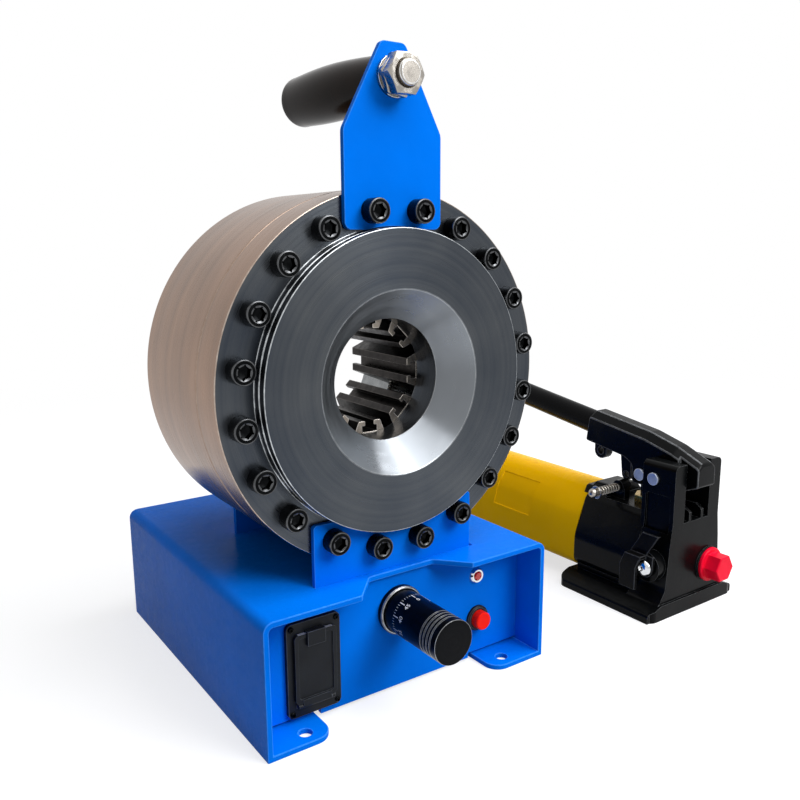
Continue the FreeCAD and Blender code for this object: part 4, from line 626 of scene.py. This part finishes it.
# Crimping head
def flange():
    groove_start = boss_face + boss_groove[0]
    groove_end = groove_start + boss_groove[1]
    groove_radius = boss_radius - boss_groove[2]
    bm = spun([
        (bore_radius, jaw_plane),
        (bore_radius, boss_face + lead_in_depth),
        (lead_in_radius, boss_face),
        (boss_radius, boss_face),
        (boss_radius, groove_start),
        (groove_radius, groove_start),
        (groove_radius, groove_end),
        (boss_radius, groove_end),
        (boss_radius, ring_face),
        (ring_radius, ring_face),
        (ring_radius, jaw_plane - seam_width),
        (ring_radius - seam_depth, jaw_plane),
    ], 0, head_height, head_segments, True)
    round_corners(bm, flange_rounding, 3)
    wrap(bm, 0, head_height)
    wear_and_glint = bm.faces.layers.float["edge_wear_and_glint"]
    for face in bm.faces:
        centre = face.calc_center_median()
        out = math.hypot(centre.x, centre.z - head_height)
        if out > ring_radius - skin_band:
            face.material_index = 2
        # The cone takes the steel painted bright and the faces the steel painted dark: lit and shaded copies
        # of one steel, a painted reflection.
        elif out < lead_in_radius - cone_band and abs(face.normal.y) > 0.2:
            face.material_index = 1
        # Edges by the bore and the seam keep little of the pale edge colour and the rim a middling share;
        # that colour is partly rubbing and partly a painted highlight
        if out < lead_in_radius + rim_reach or centre.y > ring_face + seam_reach:
            face[wear_and_glint] = min(face[wear_and_glint], sheltered_wear_and_glint)
        elif out > ring_radius - rim_reach:
            face[wear_and_glint] = min(face[wear_and_glint], rim_wear_and_glint)
    finish_piece("flange", bm, [steel_painted_dark, steel_painted_bright, ground_barrel_steel], "base",
                 ["front_flange"])


def barrel():
    bm = spun([
        (barrel_bore, jaw_plane),
        (ring_radius - seam_depth, jaw_plane),
        (ring_radius, jaw_plane + seam_width),
        (ring_radius, barrel_back),
        (tube_bore, barrel_back),
        (tube_bore, barrel_floor),
        (barrel_bore, barrel_floor),
    ], 0, head_height, head_segments, True)
    round_corners(bm, barrel_rounding, 3)
    wrap(bm, 0, head_height)
    wear_and_glint = bm.faces.layers.float["edge_wear_and_glint"]
    for face in bm.faces:
        # Edges by the seam keep little of the pale edge colour, which is partly rubbing and partly a painted
        # highlight
        if face.calc_center_median().y < jaw_plane + seam_reach:
            face[wear_and_glint] = min(face[wear_and_glint], sheltered_wear_and_glint)
    finish_piece("barrel", bm, [ground_barrel_steel], "base", ["cylinder_barrel"])


def cap_screw(seat):
    """A socket head whose underside is at y = seat and whose top faces -Y, its rims painted bright: partly
    rubbed, partly painted glints.
    """
    top = seat - screw_head_height
    bm = ringed([
        (seat, screw_head_radius - 0.3),
        (seat - 0.3, screw_head_radius),
        (top + 0.9, screw_head_radius),
        (top + 0.25, screw_head_radius - 0.25),
        (top, screw_head_radius - 0.9),
        (top, socket_flats * 0.66),
        (top + 0.25, socket_flats * 0.62),
        (top + 0.6, socket_flats, socket_flats, -0.7),
        (top + socket_depth, socket_flats, socket_flats),
        (top + socket_depth + 1.2, 1.0),
    ])
    wear_and_glint = bm.faces.layers.float.new("edge_wear_and_glint")
    for face in bm.faces:
        # The front rims take the pale edge colour: partly rubbed, partly painted glints.
        front = top - 0.01 < face.calc_center_median().y < top + 0.8
        face[wear_and_glint] = 0.35 if front and abs(face.normal.y) < 0.97 else 0.0
    return bm


def head_screws():
    plates = [angle % 360 for angle in plate_screw_angles]
    step = 360 / screw_count
    angles = [step / 2 + step * index for index in range(screw_count)]
    ring = [on_head(angle) for angle in angles if round(angle) not in plates]
    finish_piece("ring_screw_heads", gathered(cap_screw(ring_face), ring), [black_oxide], "base",
                 ["ring_screws"])
    front = gathered(cap_screw(ring_face - plate_sheet), [on_head(angle) for angle in plate_screw_angles])
    turned_round = Matrix.Rotation(math.pi, 4, "Z")
    behind = [on_head(angle) @ Matrix.Translation((0, barrel_back + plate_sheet, 0)) @ turned_round
              for angle in rear_screw_angles]
    both = merged(front, gathered(cap_screw(0.0), behind))
    finish_piece("plate_screw_heads", both, [black_oxide], "base", ["plate_screws"])


def jaws():
    """Each jaw loses the plain rod that stands for its spring, and a coil takes its place."""
    for index in range(jaw_count):
        node = "jaw_%d" % (index + 1)
        angle = 360 / jaw_count * index
        bm = from_cad(node)
        axis = Vector((0, 0, head_height))
        side = math.radians(angle + 180 / jaw_count)
        spring_middle = axis + Vector((math.sin(side), 0, math.cos(side))) * spring_circle
        spring_middle.y = jaw_middle
        across = Vector((math.cos(side), 0, -math.sin(side)))
        rod = []
        for vert in bm.verts:
            reach = vert.co - spring_middle
            along = reach.dot(across)
            aside = (reach - across * along).length
            if abs(along) > spring_length / 2 - 0.01 and aside < spring_radius + 0.05:
                rod.append(vert)
        bmesh.ops.delete(bm, geom=rod, context="VERTS")
        round_corners(bm, jaw_rounding)
        for face in bm.faces:
            if face.normal.y < -0.9:
                face.material_index = 1
        finish_piece(node + "_finished", bm, [blackened_jaw_steel, ground_jaw_end], node, [node])
        spring = coil(spring_radius - spring_wire, spring_wire, spring_length, spring_turns)
        turn = across.to_track_quat("X", "Y").to_matrix().to_4x4()
        place = Matrix.Translation(spring_middle - across * spring_length / 2) @ turn
        finish_piece(node + "_spring", moved(spring, place), [bright_zinc], node)


# Carry grip and its nuts
def carry_grip():
    steps = 20
    profile = []
    for index in range(steps + 1):
        share = index / steps
        y = grip_start + (grip_length - grip_rounded) * share
        ends = grip_neck + (grip_shoulder - grip_neck) * share
        swell = (grip_swell - grip_neck * 0.42 - grip_shoulder * 0.58) * math.sin(math.pi * share ** 1.1)
        profile.append((ends + swell, y))
    radius, depth = grip_counterbore
    end = grip_start + grip_length
    profile += [
        (grip_shoulder, end - 1.2),
        (grip_shoulder - 0.4, end - 0.4),
        (grip_end, end),
        (radius, end),
        (radius, end - depth),
        (bolt_radius + grip_bolt_play, end - depth),
        (bolt_radius + grip_bolt_play, grip_start),
    ]
    bm = spun(profile, 0, grip_height, 96, True)
    wrap(bm, 0, grip_height)
    finish_piece("carry_grip", bm, [polished_grip], "grip", ["handle_grip"], 40.0)


def six_sided_nut(seat, length, bore):
    """A nut whose back is at y = seat and whose chamfered front faces -Y."""
    front = seat - length
    corner = nut_flats / math.sqrt(3)
    slope = math.tan(math.radians(30))
    rise = (corner - nut_flats / 2) * slope
    return ringed([
        (seat, bore + 0.8),
        (seat, nut_flats / 2 - 0.2),
        (seat - rise, corner, nut_flats, slope),
        (front + 0.35, corner, nut_flats, slope),
        (front, nut_flats / 2 - 0.5),
        (front, bore + 1.0),
        (front + 0.9, bore),
        (seat - 0.9, bore),
    ])


def grip_bolt():
    seat = ring_face - plate_sheet
    washer = spun([
        (washer_radius, seat - washer_length), (washer_radius, seat),
        (bolt_radius + 0.4, seat), (bolt_radius + 0.4, seat - washer_length),
    ], 0, grip_height, 72, True)
    round_corners(washer, 0.35)
    finish_piece("grip_washer", washer, [bright_zinc], "base", ["handle_washer"])
    raised = Matrix.Translation((0, 0, grip_height))
    nut_back = seat - washer_length
    turned = raised @ Matrix.Rotation(math.radians(jam_nut_turn), 4, "Y")
    jam_nut = gathered(six_sided_nut(nut_back, jam_nut_length, bolt_radius), [turned])
    front_back = nut_back - jam_nut_length - nut_gap
    front_nut = six_sided_nut(front_back, nut_length - jam_nut_length - nut_gap, bolt_radius)
    nuts = merged(jam_nut, moved(front_nut, raised))
    finish_piece("grip_nuts", nuts, [bright_zinc], "base", ["handle_nut"])
    softened("handle_bolt", 0.4, bright_zinc, "base")


# Dial
def dial():
    bm = rounded_node("dial_ring", 0.5, 3)
    wrap(bm, 0, dial_height)
    finish_piece("dial_ring_finished", bm, [black_anodised], "base", ["dial_ring"])
    profile = [(0, drum_front), (drum_radius, drum_front)]
    for index in range(drum_grooves):
        start = drum_front + drum_groove_start + drum_groove_pitch * index
        profile += [
            (drum_radius, start),
            (drum_radius - drum_groove_depth, start),
            (drum_radius - drum_groove_depth, start + drum_groove_width),
            (drum_radius, start + drum_groove_width),
        ]
    profile += [
        (drum_radius, drum_back),
        (drum_bore, drum_back),
        (drum_bore, drum_front + drum_wall),
        (0, drum_front + drum_wall),
    ]
    drum = spun(profile, 0, dial_height, 120)
    round_corners(drum, 0.3, 2)
    wrap(drum, 0, dial_height)
    finish_piece("dial_drum_finished", drum, [black_anodised], "dial", ["dial_drum"])
    dial_scale()


def numeral(text):
    """Outline numerals as a flat mesh in millimetres, centred on the origin and facing +Z."""
    outline = bpy.data.curves.new("numeral", "FONT")
    outline.body = text
    outline.size = numeral_size
    outline.align_x = "CENTER"
    outline.extrude = ink_depth
    holder = bpy.data.objects.new("numeral", outline)
    mesh = bpy.data.meshes.new_from_object(holder)
    bpy.data.objects.remove(holder)
    return mesh


def dial_scale():
    """Ticks and plain numbers printed round the drum, with the digits' tops towards the panel."""
    bm = bmesh.new()
    lift = drum_radius + ink_lift
    for division in range(dial_divisions):
        turn = Matrix.Rotation(math.tau * division / dial_divisions, 4, "Y")
        numbered = division % numeral_step == 0
        length = tick_length if numbered else tick_length / 3
        width = tick_width if numbered else small_tick_width
        place = Matrix.Translation((0, 0, dial_height)) @ turn
        tick = place @ Matrix.Translation((0, drum_back - tick_start - length / 2, lift))
        bmesh.ops.create_cube(bm, size=1.0, matrix=tick @ Matrix.Diagonal((width, length, 2 * ink_depth, 1)))
        if numbered:
            mesh = numeral(str(division))
            mesh.transform(place @ Matrix.Translation((0, drum_back - numeral_place, lift)))
            bm.from_mesh(mesh)
            bpy.data.meshes.remove(mesh)
    finish_piece("dial_scale", bm, [scale_ink], "dial")


# Lamp and push button
def lamp_and_button():
    x, z = lamp_place
    front = panel_face - lamp_height
    bezel = spun([
        (lamp_lens_radius + 0.05, front + 1.0),
        (lamp_lens_radius + 0.3, front),
        (lamp_radius - 1.4, front - 0.2),
        (lamp_radius - 0.4, front + 0.8),
        (lamp_radius, panel_face),
        (lamp_lens_radius + 0.05, panel_face),
    ], x, z, 64, True)
    wrap(bezel, x, z)
    finish_piece("lamp_ring", bezel, [polished_chrome], "base", ["lamp_bezel"])
    lens = ringed([
        (panel_face, lamp_lens_radius),
        (front - 0.3, lamp_lens_radius),
        (front - 0.9, lamp_lens_radius * 0.82),
        (front - 1.2, lamp_lens_radius * 0.4),
    ], 12)
    moved(lens, Matrix.Translation((x, 0, z)))
    finish_piece("lamp_lens_finished", lens, [red_acrylic], "base", ["lamp_lens"], 12.0)
    x, z = button_place
    front = panel_face - button_ring_height
    ring = spun([
        (button_radius + 0.1, panel_face),
        (button_radius + 0.1, front + 0.4),
        (button_radius + 0.6, front),
        (button_ring_radius - 1.4, front),
        (button_ring_radius - 0.2, front + 1.0),
        (button_ring_radius, panel_face),
    ], x, z, 72, True)
    round_corners(ring, 0.2)
    finish_piece("button_ring", ring, [moulded_black], "base", ["button_bezel"])
    cap = spun([
        (0, button_front + 0.25),
        (button_radius - 2.2, button_front + 0.15),
        (button_radius - 1.2, button_front),
        (button_radius - 0.5, button_front + 0.25),
        (button_radius, button_front + 1.0),
        (button_radius, panel_face + button_depth),
        (0, panel_face + button_depth),
    ], x, z, 72)
    finish_piece("button_cap_finished", cap, [button_red], "button", ["button_cap"])


# Battery box
def recessed_screw(radius, height):
    """A small pan head at the origin that faces -Y, with a dimple for its driver."""
    return ringed([
        (0.0, radius),
        (-height * 0.5, radius),
        (-height, radius * 0.72),
        (-height, radius * 0.4),
        (-height * 0.4, radius * 0.22),
    ], 24)


def ledge_cut(bm):
    """Slopes the front edge of the lid's top into a ledge for a finger."""
    top = max(vert.co.z for vert in bm.verts)
    edges = [edge for edge in bm.edges
             if all(abs(vert.co.z - top) < 0.01 and abs(vert.co.y - lid_front) < 0.01 for vert in edge.verts)]
    made = bmesh.ops.bevel(bm, geom=edges, offset=lid_ledge, offset_type="OFFSET", segments=1, profile=0.5,
                           affect="EDGES", clamp_overlap=False, material=-1)
    for face in made["faces"]:
        # The sloped ledge takes the ABS painted pale, a painted highlight.
        face.material_index = 1


def battery_compartment():
    softened("battery_box", 0.5, moulded_black, "base")
    lid = rounded_node("battery_lid", 0.3, 2, ledge_cut)
    latch = bmesh.new()
    size = (latch_width, lid_ledge + latch_proud, latch_high - latch_low, 1)
    centre = (box_place[0], lid_front + (lid_ledge - latch_proud) / 2, (latch_high + latch_low) / 2)
    bmesh.ops.create_cube(latch, size=1.0, matrix=Matrix.Translation(centre) @ Matrix.Diagonal(size))
    round_corners(latch, 0.4)
    finish_piece("battery_lid_finished", merged(lid, latch), [moulded_black, ledge_painted_pale], "lid",
                 ["battery_lid"])
    x, z = box_place
    half_x = box_size[0] / 2 - box_screw_inset
    half_z = box_size[1] / 2 - box_screw_inset
    places = [Matrix.Translation((x + side * half_x, box_front, z + level * half_z))
              for side in (-1, 1) for level in (-1, 1)]
    finish_piece("box_screw_heads", gathered(recessed_screw(box_screw_radius, box_screw_height), places),
                 [black_oxide], "base", ["battery_box_screws"])


# Hand pump
def lock_spring():
    length = lock_boss_face - lock_spring_end - 2 * lock_coil_play
    bm = coil(lock_coil_radius, lock_coil_wire, length, lock_coil_turns)
    y, z = lock_place
    moved(bm, Matrix.Translation((lock_spring_end + lock_coil_play, y, z)))
    piece = finish_piece("lock_spring_coil", bm, [bright_zinc], "base", ["lock_spring"])
    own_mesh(piece)


def tank():
    """The oil tank: a pressed shell with an arched top and a shallow bare panel on each side."""
    low, high = [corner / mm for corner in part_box("pump_reservoir")]
    x = (low.x + high.x) / 2
    half = (high.x - low.x) / 2
    lean = math.atan2(tank_shoulder[0] - half, tank_shoulder[1] - tank_side_top)
    arch = (tank_top - tank_shoulder[1]) / (1 + math.sin(lean))
    centre = tank_top - arch
    outline = []
    for step in range(tank_corner_steps + 1):
        turn = math.radians(90 / tank_corner_steps * step)
        outline.append((half - tank_corner + tank_corner * math.sin(turn),
                        low.z + tank_corner - tank_corner * math.cos(turn)))
    outline.append((half, tank_side_top))
    for step in range(tank_arch_steps):
        turn = -lean + (math.pi / 2 + lean) * step / tank_arch_steps
        outline.append((arch * math.cos(turn), centre + arch * math.sin(turn)))
    ring = outline + [(0, tank_top)] + [(-u, z) for u, z in reversed(outline)]
    bm = bmesh.new()
    face = bm.faces.new([bm.verts.new((x + u, low.y, z)) for u, z in ring])
    made = bmesh.ops.extrude_face_region(bm, geom=[face])
    bmesh.ops.translate(bm, verts=[item for item in made["geom"] if isinstance(item, bmesh.types.BMVert)],
                        vec=(0, high.y - low.y, 0))
    ends = (low.y + panel_start, low.y + panel_start + panel_length)
    for y in ends:
        bmesh.ops.bisect_plane(bm, geom=bm.verts[:] + bm.edges[:] + bm.faces[:], dist=0.001,
                               plane_co=(0, y, 0), plane_no=(0, 1, 0))
    bmesh.ops.recalc_face_normals(bm, faces=bm.faces)
    for side in (-1, 1):
        panel = []
        for face in bm.faces:
            spot = face.calc_center_median()
            if ends[0] < spot.y < ends[1] and panel_low < spot.z < panel_high and (spot.x - x) * side > 0:
                panel.append(face)
        for width, depth in (panel_lip, panel_drop):
            bmesh.ops.inset_region(bm, faces=panel, thickness=width, depth=depth, use_even_offset=True)
    finish_piece("oil_tank", bm, [yellow_enamel], "base", ["pump_reservoir"])


def outlet_plug():
    """A six-sided plug with a round rim, which closes the pump's outlet."""
    x, z = plug_place
    corner = plug_flats / math.sqrt(3)
    rim = plug_seat - plug_rim_length
    end = rim - plug_head_length
    bm = ringed([
        (plug_seat, plug_rim_radius - plug_break),
        (plug_seat - 0.6, plug_rim_radius),
        (rim + plug_break, plug_rim_radius),
        (rim, plug_rim_radius - plug_break),
        (rim, corner + 0.6, plug_flats + 1.0),
        (rim - plug_break, corner, plug_flats),
        (end + plug_break, corner, plug_flats),
        (end, corner - 0.9, plug_flats - 1.5),
    ], 72)
    moved(bm, Matrix.Translation((x, 0, z)))
    finish_piece("outlet_plug_finished", bm, [plug_red], "base", ["outlet_plug"])


def release_screw():
    """A domed screw head with a dimple for its driver, given as shares of its height and radius."""
    dome = (
        (0.0, 1.0), (0.25, 1.0), (0.5, 0.94), (0.72, 0.83),
        (0.88, 0.67), (1.0, 0.42), (1.0, 0.32), (0.6, 0.16),
    )
    bm = ringed([(-release_screw_height * rise, release_screw_radius * reach) for rise, reach in dome])
    y, z = release_place
    moved(bm, about_x(release_face, y, z))
    finish_piece("release_screw_finished", bm, [polished_chrome], "release", ["release_screw"])


flange()
barrel()
head_screws()
jaws()
carry_grip()
grip_bolt()
dial()
lamp_and_button()
battery_compartment()
lock_spring()
tank()
outlet_plug()
release_screw()

# The other nodes keep their shape: each row gives the edge rounding and the finish
kept_nodes = [
    ("base_frame", 0.7, blue_enamel, "base", "blue_paint"),
    ("front_panel", 0.5, blue_enamel, "base", "blue_paint"),
    ("rear_panel", 0.5, blue_enamel, "base", "blue_paint"),
    ("front_saddle_plate", 0.5, blue_enamel, "base", "blue_paint"),
    ("rear_saddle_plate", 0.5, blue_enamel, "base", "blue_paint"),
    ("handle_plate", 0.6, blue_enamel, "base", "blue_paint"),
    ("ram", 0.6, machined_steel, "ram", "machined_steel"),
    ("ram_tube", 0.6, machined_steel, "ram", "machined_steel"),
    ("ram_seal", 0.3, seal_rubber, "ram", "seal_rubber"),
    ("rod_seal", 0.3, seal_rubber, "base", "seal_rubber"),
    ("inlet_coupler", 0.5, bright_zinc, "base", "zinc_plated_steel"),
    ("travel_feeler", 0.4, bright_zinc, "ram", "zinc_plated_steel"),
    ("feeler_screw", 0.3, black_oxide, "ram", "black_oxide_steel"),
    ("dial_nut", 0.4, bright_zinc, "base", "zinc_plated_steel"),
    ("dial_spindle", 0.4, machined_steel, "spindle", "machined_steel"),
    ("micro_switch", 0.3, moulded_black, "spindle", "black_plastic"),
    ("battery", 0.6, battery_wrap, "base", "battery_wrap"),
    ("panel_nuts", 0.3, bright_zinc, "base", "zinc_plated_steel"),
    ("pump_body", 1.2, painted_casting, "base", "pump_black"),
    ("reservoir_end_cap", 1.0, painted_casting, "base", "pump_black"),
    ("filler_plug", 0.2, moulded_black, "base", "black_plastic"),
    ("pump_handle", 1.0, painted_casting, "lever", "pump_black"),
    ("handle_tube", 0.4, painted_tube, "lever", "pump_black"),
    ("handle_tube_plug", 0.4, moulded_black, "lever", "black_plastic"),
    ("plunger", 0.3, machined_steel, "plunger", "machined_steel"),
    ("plunger_gland", 0.5, turned_brass, "base", "brass_gland"),
    ("fulcrum_pin", 0.5, dulled_zinc, "base", "zinc_plated_steel"),
    ("link_pin", 0.5, dulled_zinc, "lever", "zinc_plated_steel"),
    ("lock_pin", 0.2, bright_zinc, "lock", "zinc_plated_steel"),
    ("release_lever", 0.6, painted_tube, "release", "pump_black"),
    ("release_spindle", 0.4, machined_steel, "release", "machined_steel"),
]
for node, width, finish, body, slot in kept_nodes:
    softened(node, width, finish, body)


# Floor, light and camera
def seen_by_eye(tree):
    """One for rays that show the background: straight to the camera, or by way of metal or glass."""
    path = add(tree, "ShaderNodeLightPath")
    first = add(tree, "ShaderNodeMath", {"operation": "MAXIMUM"},
                {0: (path, "Is Camera Ray"), 1: (path, "Is Glossy Ray")})
    both = add(tree, "ShaderNodeMath", {"operation": "MAXIMUM"},
               {0: (first, "Value"), 1: (path, "Is Transmission Ray")})
    return both, "Value"


def floor():
    """A pale matt floor that is lifted to white, and fades to plain white away from the object."""
    material, tree, place = start_material("pale_floor")
    base = blend_colour(tree, spread(tree, noise(tree, place, 400.0), 0.0, 1.0), "ABACAE", "A7A8AA")
    matt = add(tree, "ShaderNodeBsdfPrincipled", {"Roughness": 0.9, "Specular IOR Level": 0.0},
               {"Base Color": base})
    seen = seen_by_eye(tree)
    lift = add(tree, "ShaderNodeMath", {"operation": "MULTIPLY", 1: floor_lift}, {0: seen})
    glow = add(tree, "ShaderNodeEmission", {"Color": linear("FFFFFF")}, {"Strength": (lift, "Value")})
    near = add(tree, "ShaderNodeAddShader", None, {0: (matt, "BSDF"), 1: (glow, "Emission")})
    far = add(tree, "ShaderNodeEmission", {"Color": linear("FFFFFF"), "Strength": 1.0})
    away = add(tree, "ShaderNodeVectorMath", {"operation": "DISTANCE", 1: (0.1, 0.05, 0)}, {0: place})
    fade = add(tree, "ShaderNodeMapRange", {"interpolation_type": "SMOOTHSTEP", "From Min": fade_start,
                                            "From Max": fade_end}, {"Value": (away, "Value")})
    shown = add(tree, "ShaderNodeMath", {"operation": "MULTIPLY"}, {0: (fade, "Result"), 1: seen})
    mixed = add(tree, "ShaderNodeMixShader", None,
                {0: (shown, "Value"), 1: (near, "Shader"), 2: (far, "Emission")})
    add(tree, "ShaderNodeOutputMaterial", None, {"Surface": (mixed, "Shader")})
    bm = bmesh.new()
    bmesh.ops.create_grid(bm, x_segments=1, y_segments=1, size=8.0)
    mesh = bpy.data.meshes.new("floor")
    bm.to_mesh(mesh)
    bm.free()
    mesh.materials.append(material)
    plane = bpy.data.objects.new("floor", mesh)
    scene.collection.objects.link(plane)


def world():
    scene.world = bpy.data.worlds.new("studio")
    scene.world.use_nodes = True
    tree = scene.world.node_tree
    tree.nodes.clear()
    soft = add(tree, "ShaderNodeBackground", {"Color": linear("FFFFFF"), "Strength": world_light})
    white = add(tree, "ShaderNodeBackground", {"Color": linear("FFFFFF"), "Strength": 1.0})
    mix = add(tree, "ShaderNodeMixShader", None,
              {0: seen_by_eye(tree), 1: (soft, "Background"), 2: (white, "Background")})
    add(tree, "ShaderNodeOutputWorld", None, {"Surface": (mix, "Shader")})


def soft_light(name, place, target, size, power):
    lamp = bpy.data.lights.new(name, "AREA")
    lamp.shape = "DISK"
    lamp.size = size
    lamp.energy = power
    holder = bpy.data.objects.new(name, lamp)
    holder.location = place
    holder.rotation_euler = (Vector(target) - Vector(place)).to_track_quat("-Z", "Y").to_euler()
    scene.collection.objects.link(holder)


def camera():
    """The photograph's view, solved from the screw circle, the flange and the base's edges."""
    yaw, pitch, roll = [math.radians(turn) for turn in (camera_yaw, camera_pitch, camera_roll)]
    forward = Vector((math.sin(yaw) * math.cos(pitch), math.cos(yaw) * math.cos(pitch), -math.sin(pitch)))
    right = Vector((math.cos(yaw), -math.sin(yaw), 0))
    up = right.cross(forward)
    level_right = math.cos(roll) * right + math.sin(roll) * up
    level_up = math.cos(roll) * up - math.sin(roll) * right
    lens = bpy.data.cameras.new("camera")
    lens.sensor_width = 36.0
    lens.lens = camera_lens
    lens.clip_end = 50.0
    holder = bpy.data.objects.new("camera", lens)
    turn = Matrix((level_right, level_up, -forward)).transposed().to_4x4()
    holder.matrix_world = Matrix.Translation(Vector(camera_place) * mm) @ turn
    scene.collection.objects.link(holder)
    scene.camera = holder


floor()
world()
middle = (0.1, 0.0, 0.2)
soft_light("key_light", (1.0, -2.0, 1.6), middle, 1.3, 38.0)
soft_light("top_light", (0.28, -1.07, 2.23), middle, 2.6, 44.0)
soft_light("side_light", (1.3, -0.52, 1.9), middle, 1.3, 22.0)
camera()
scene.view_settings.view_transform = "Standard"
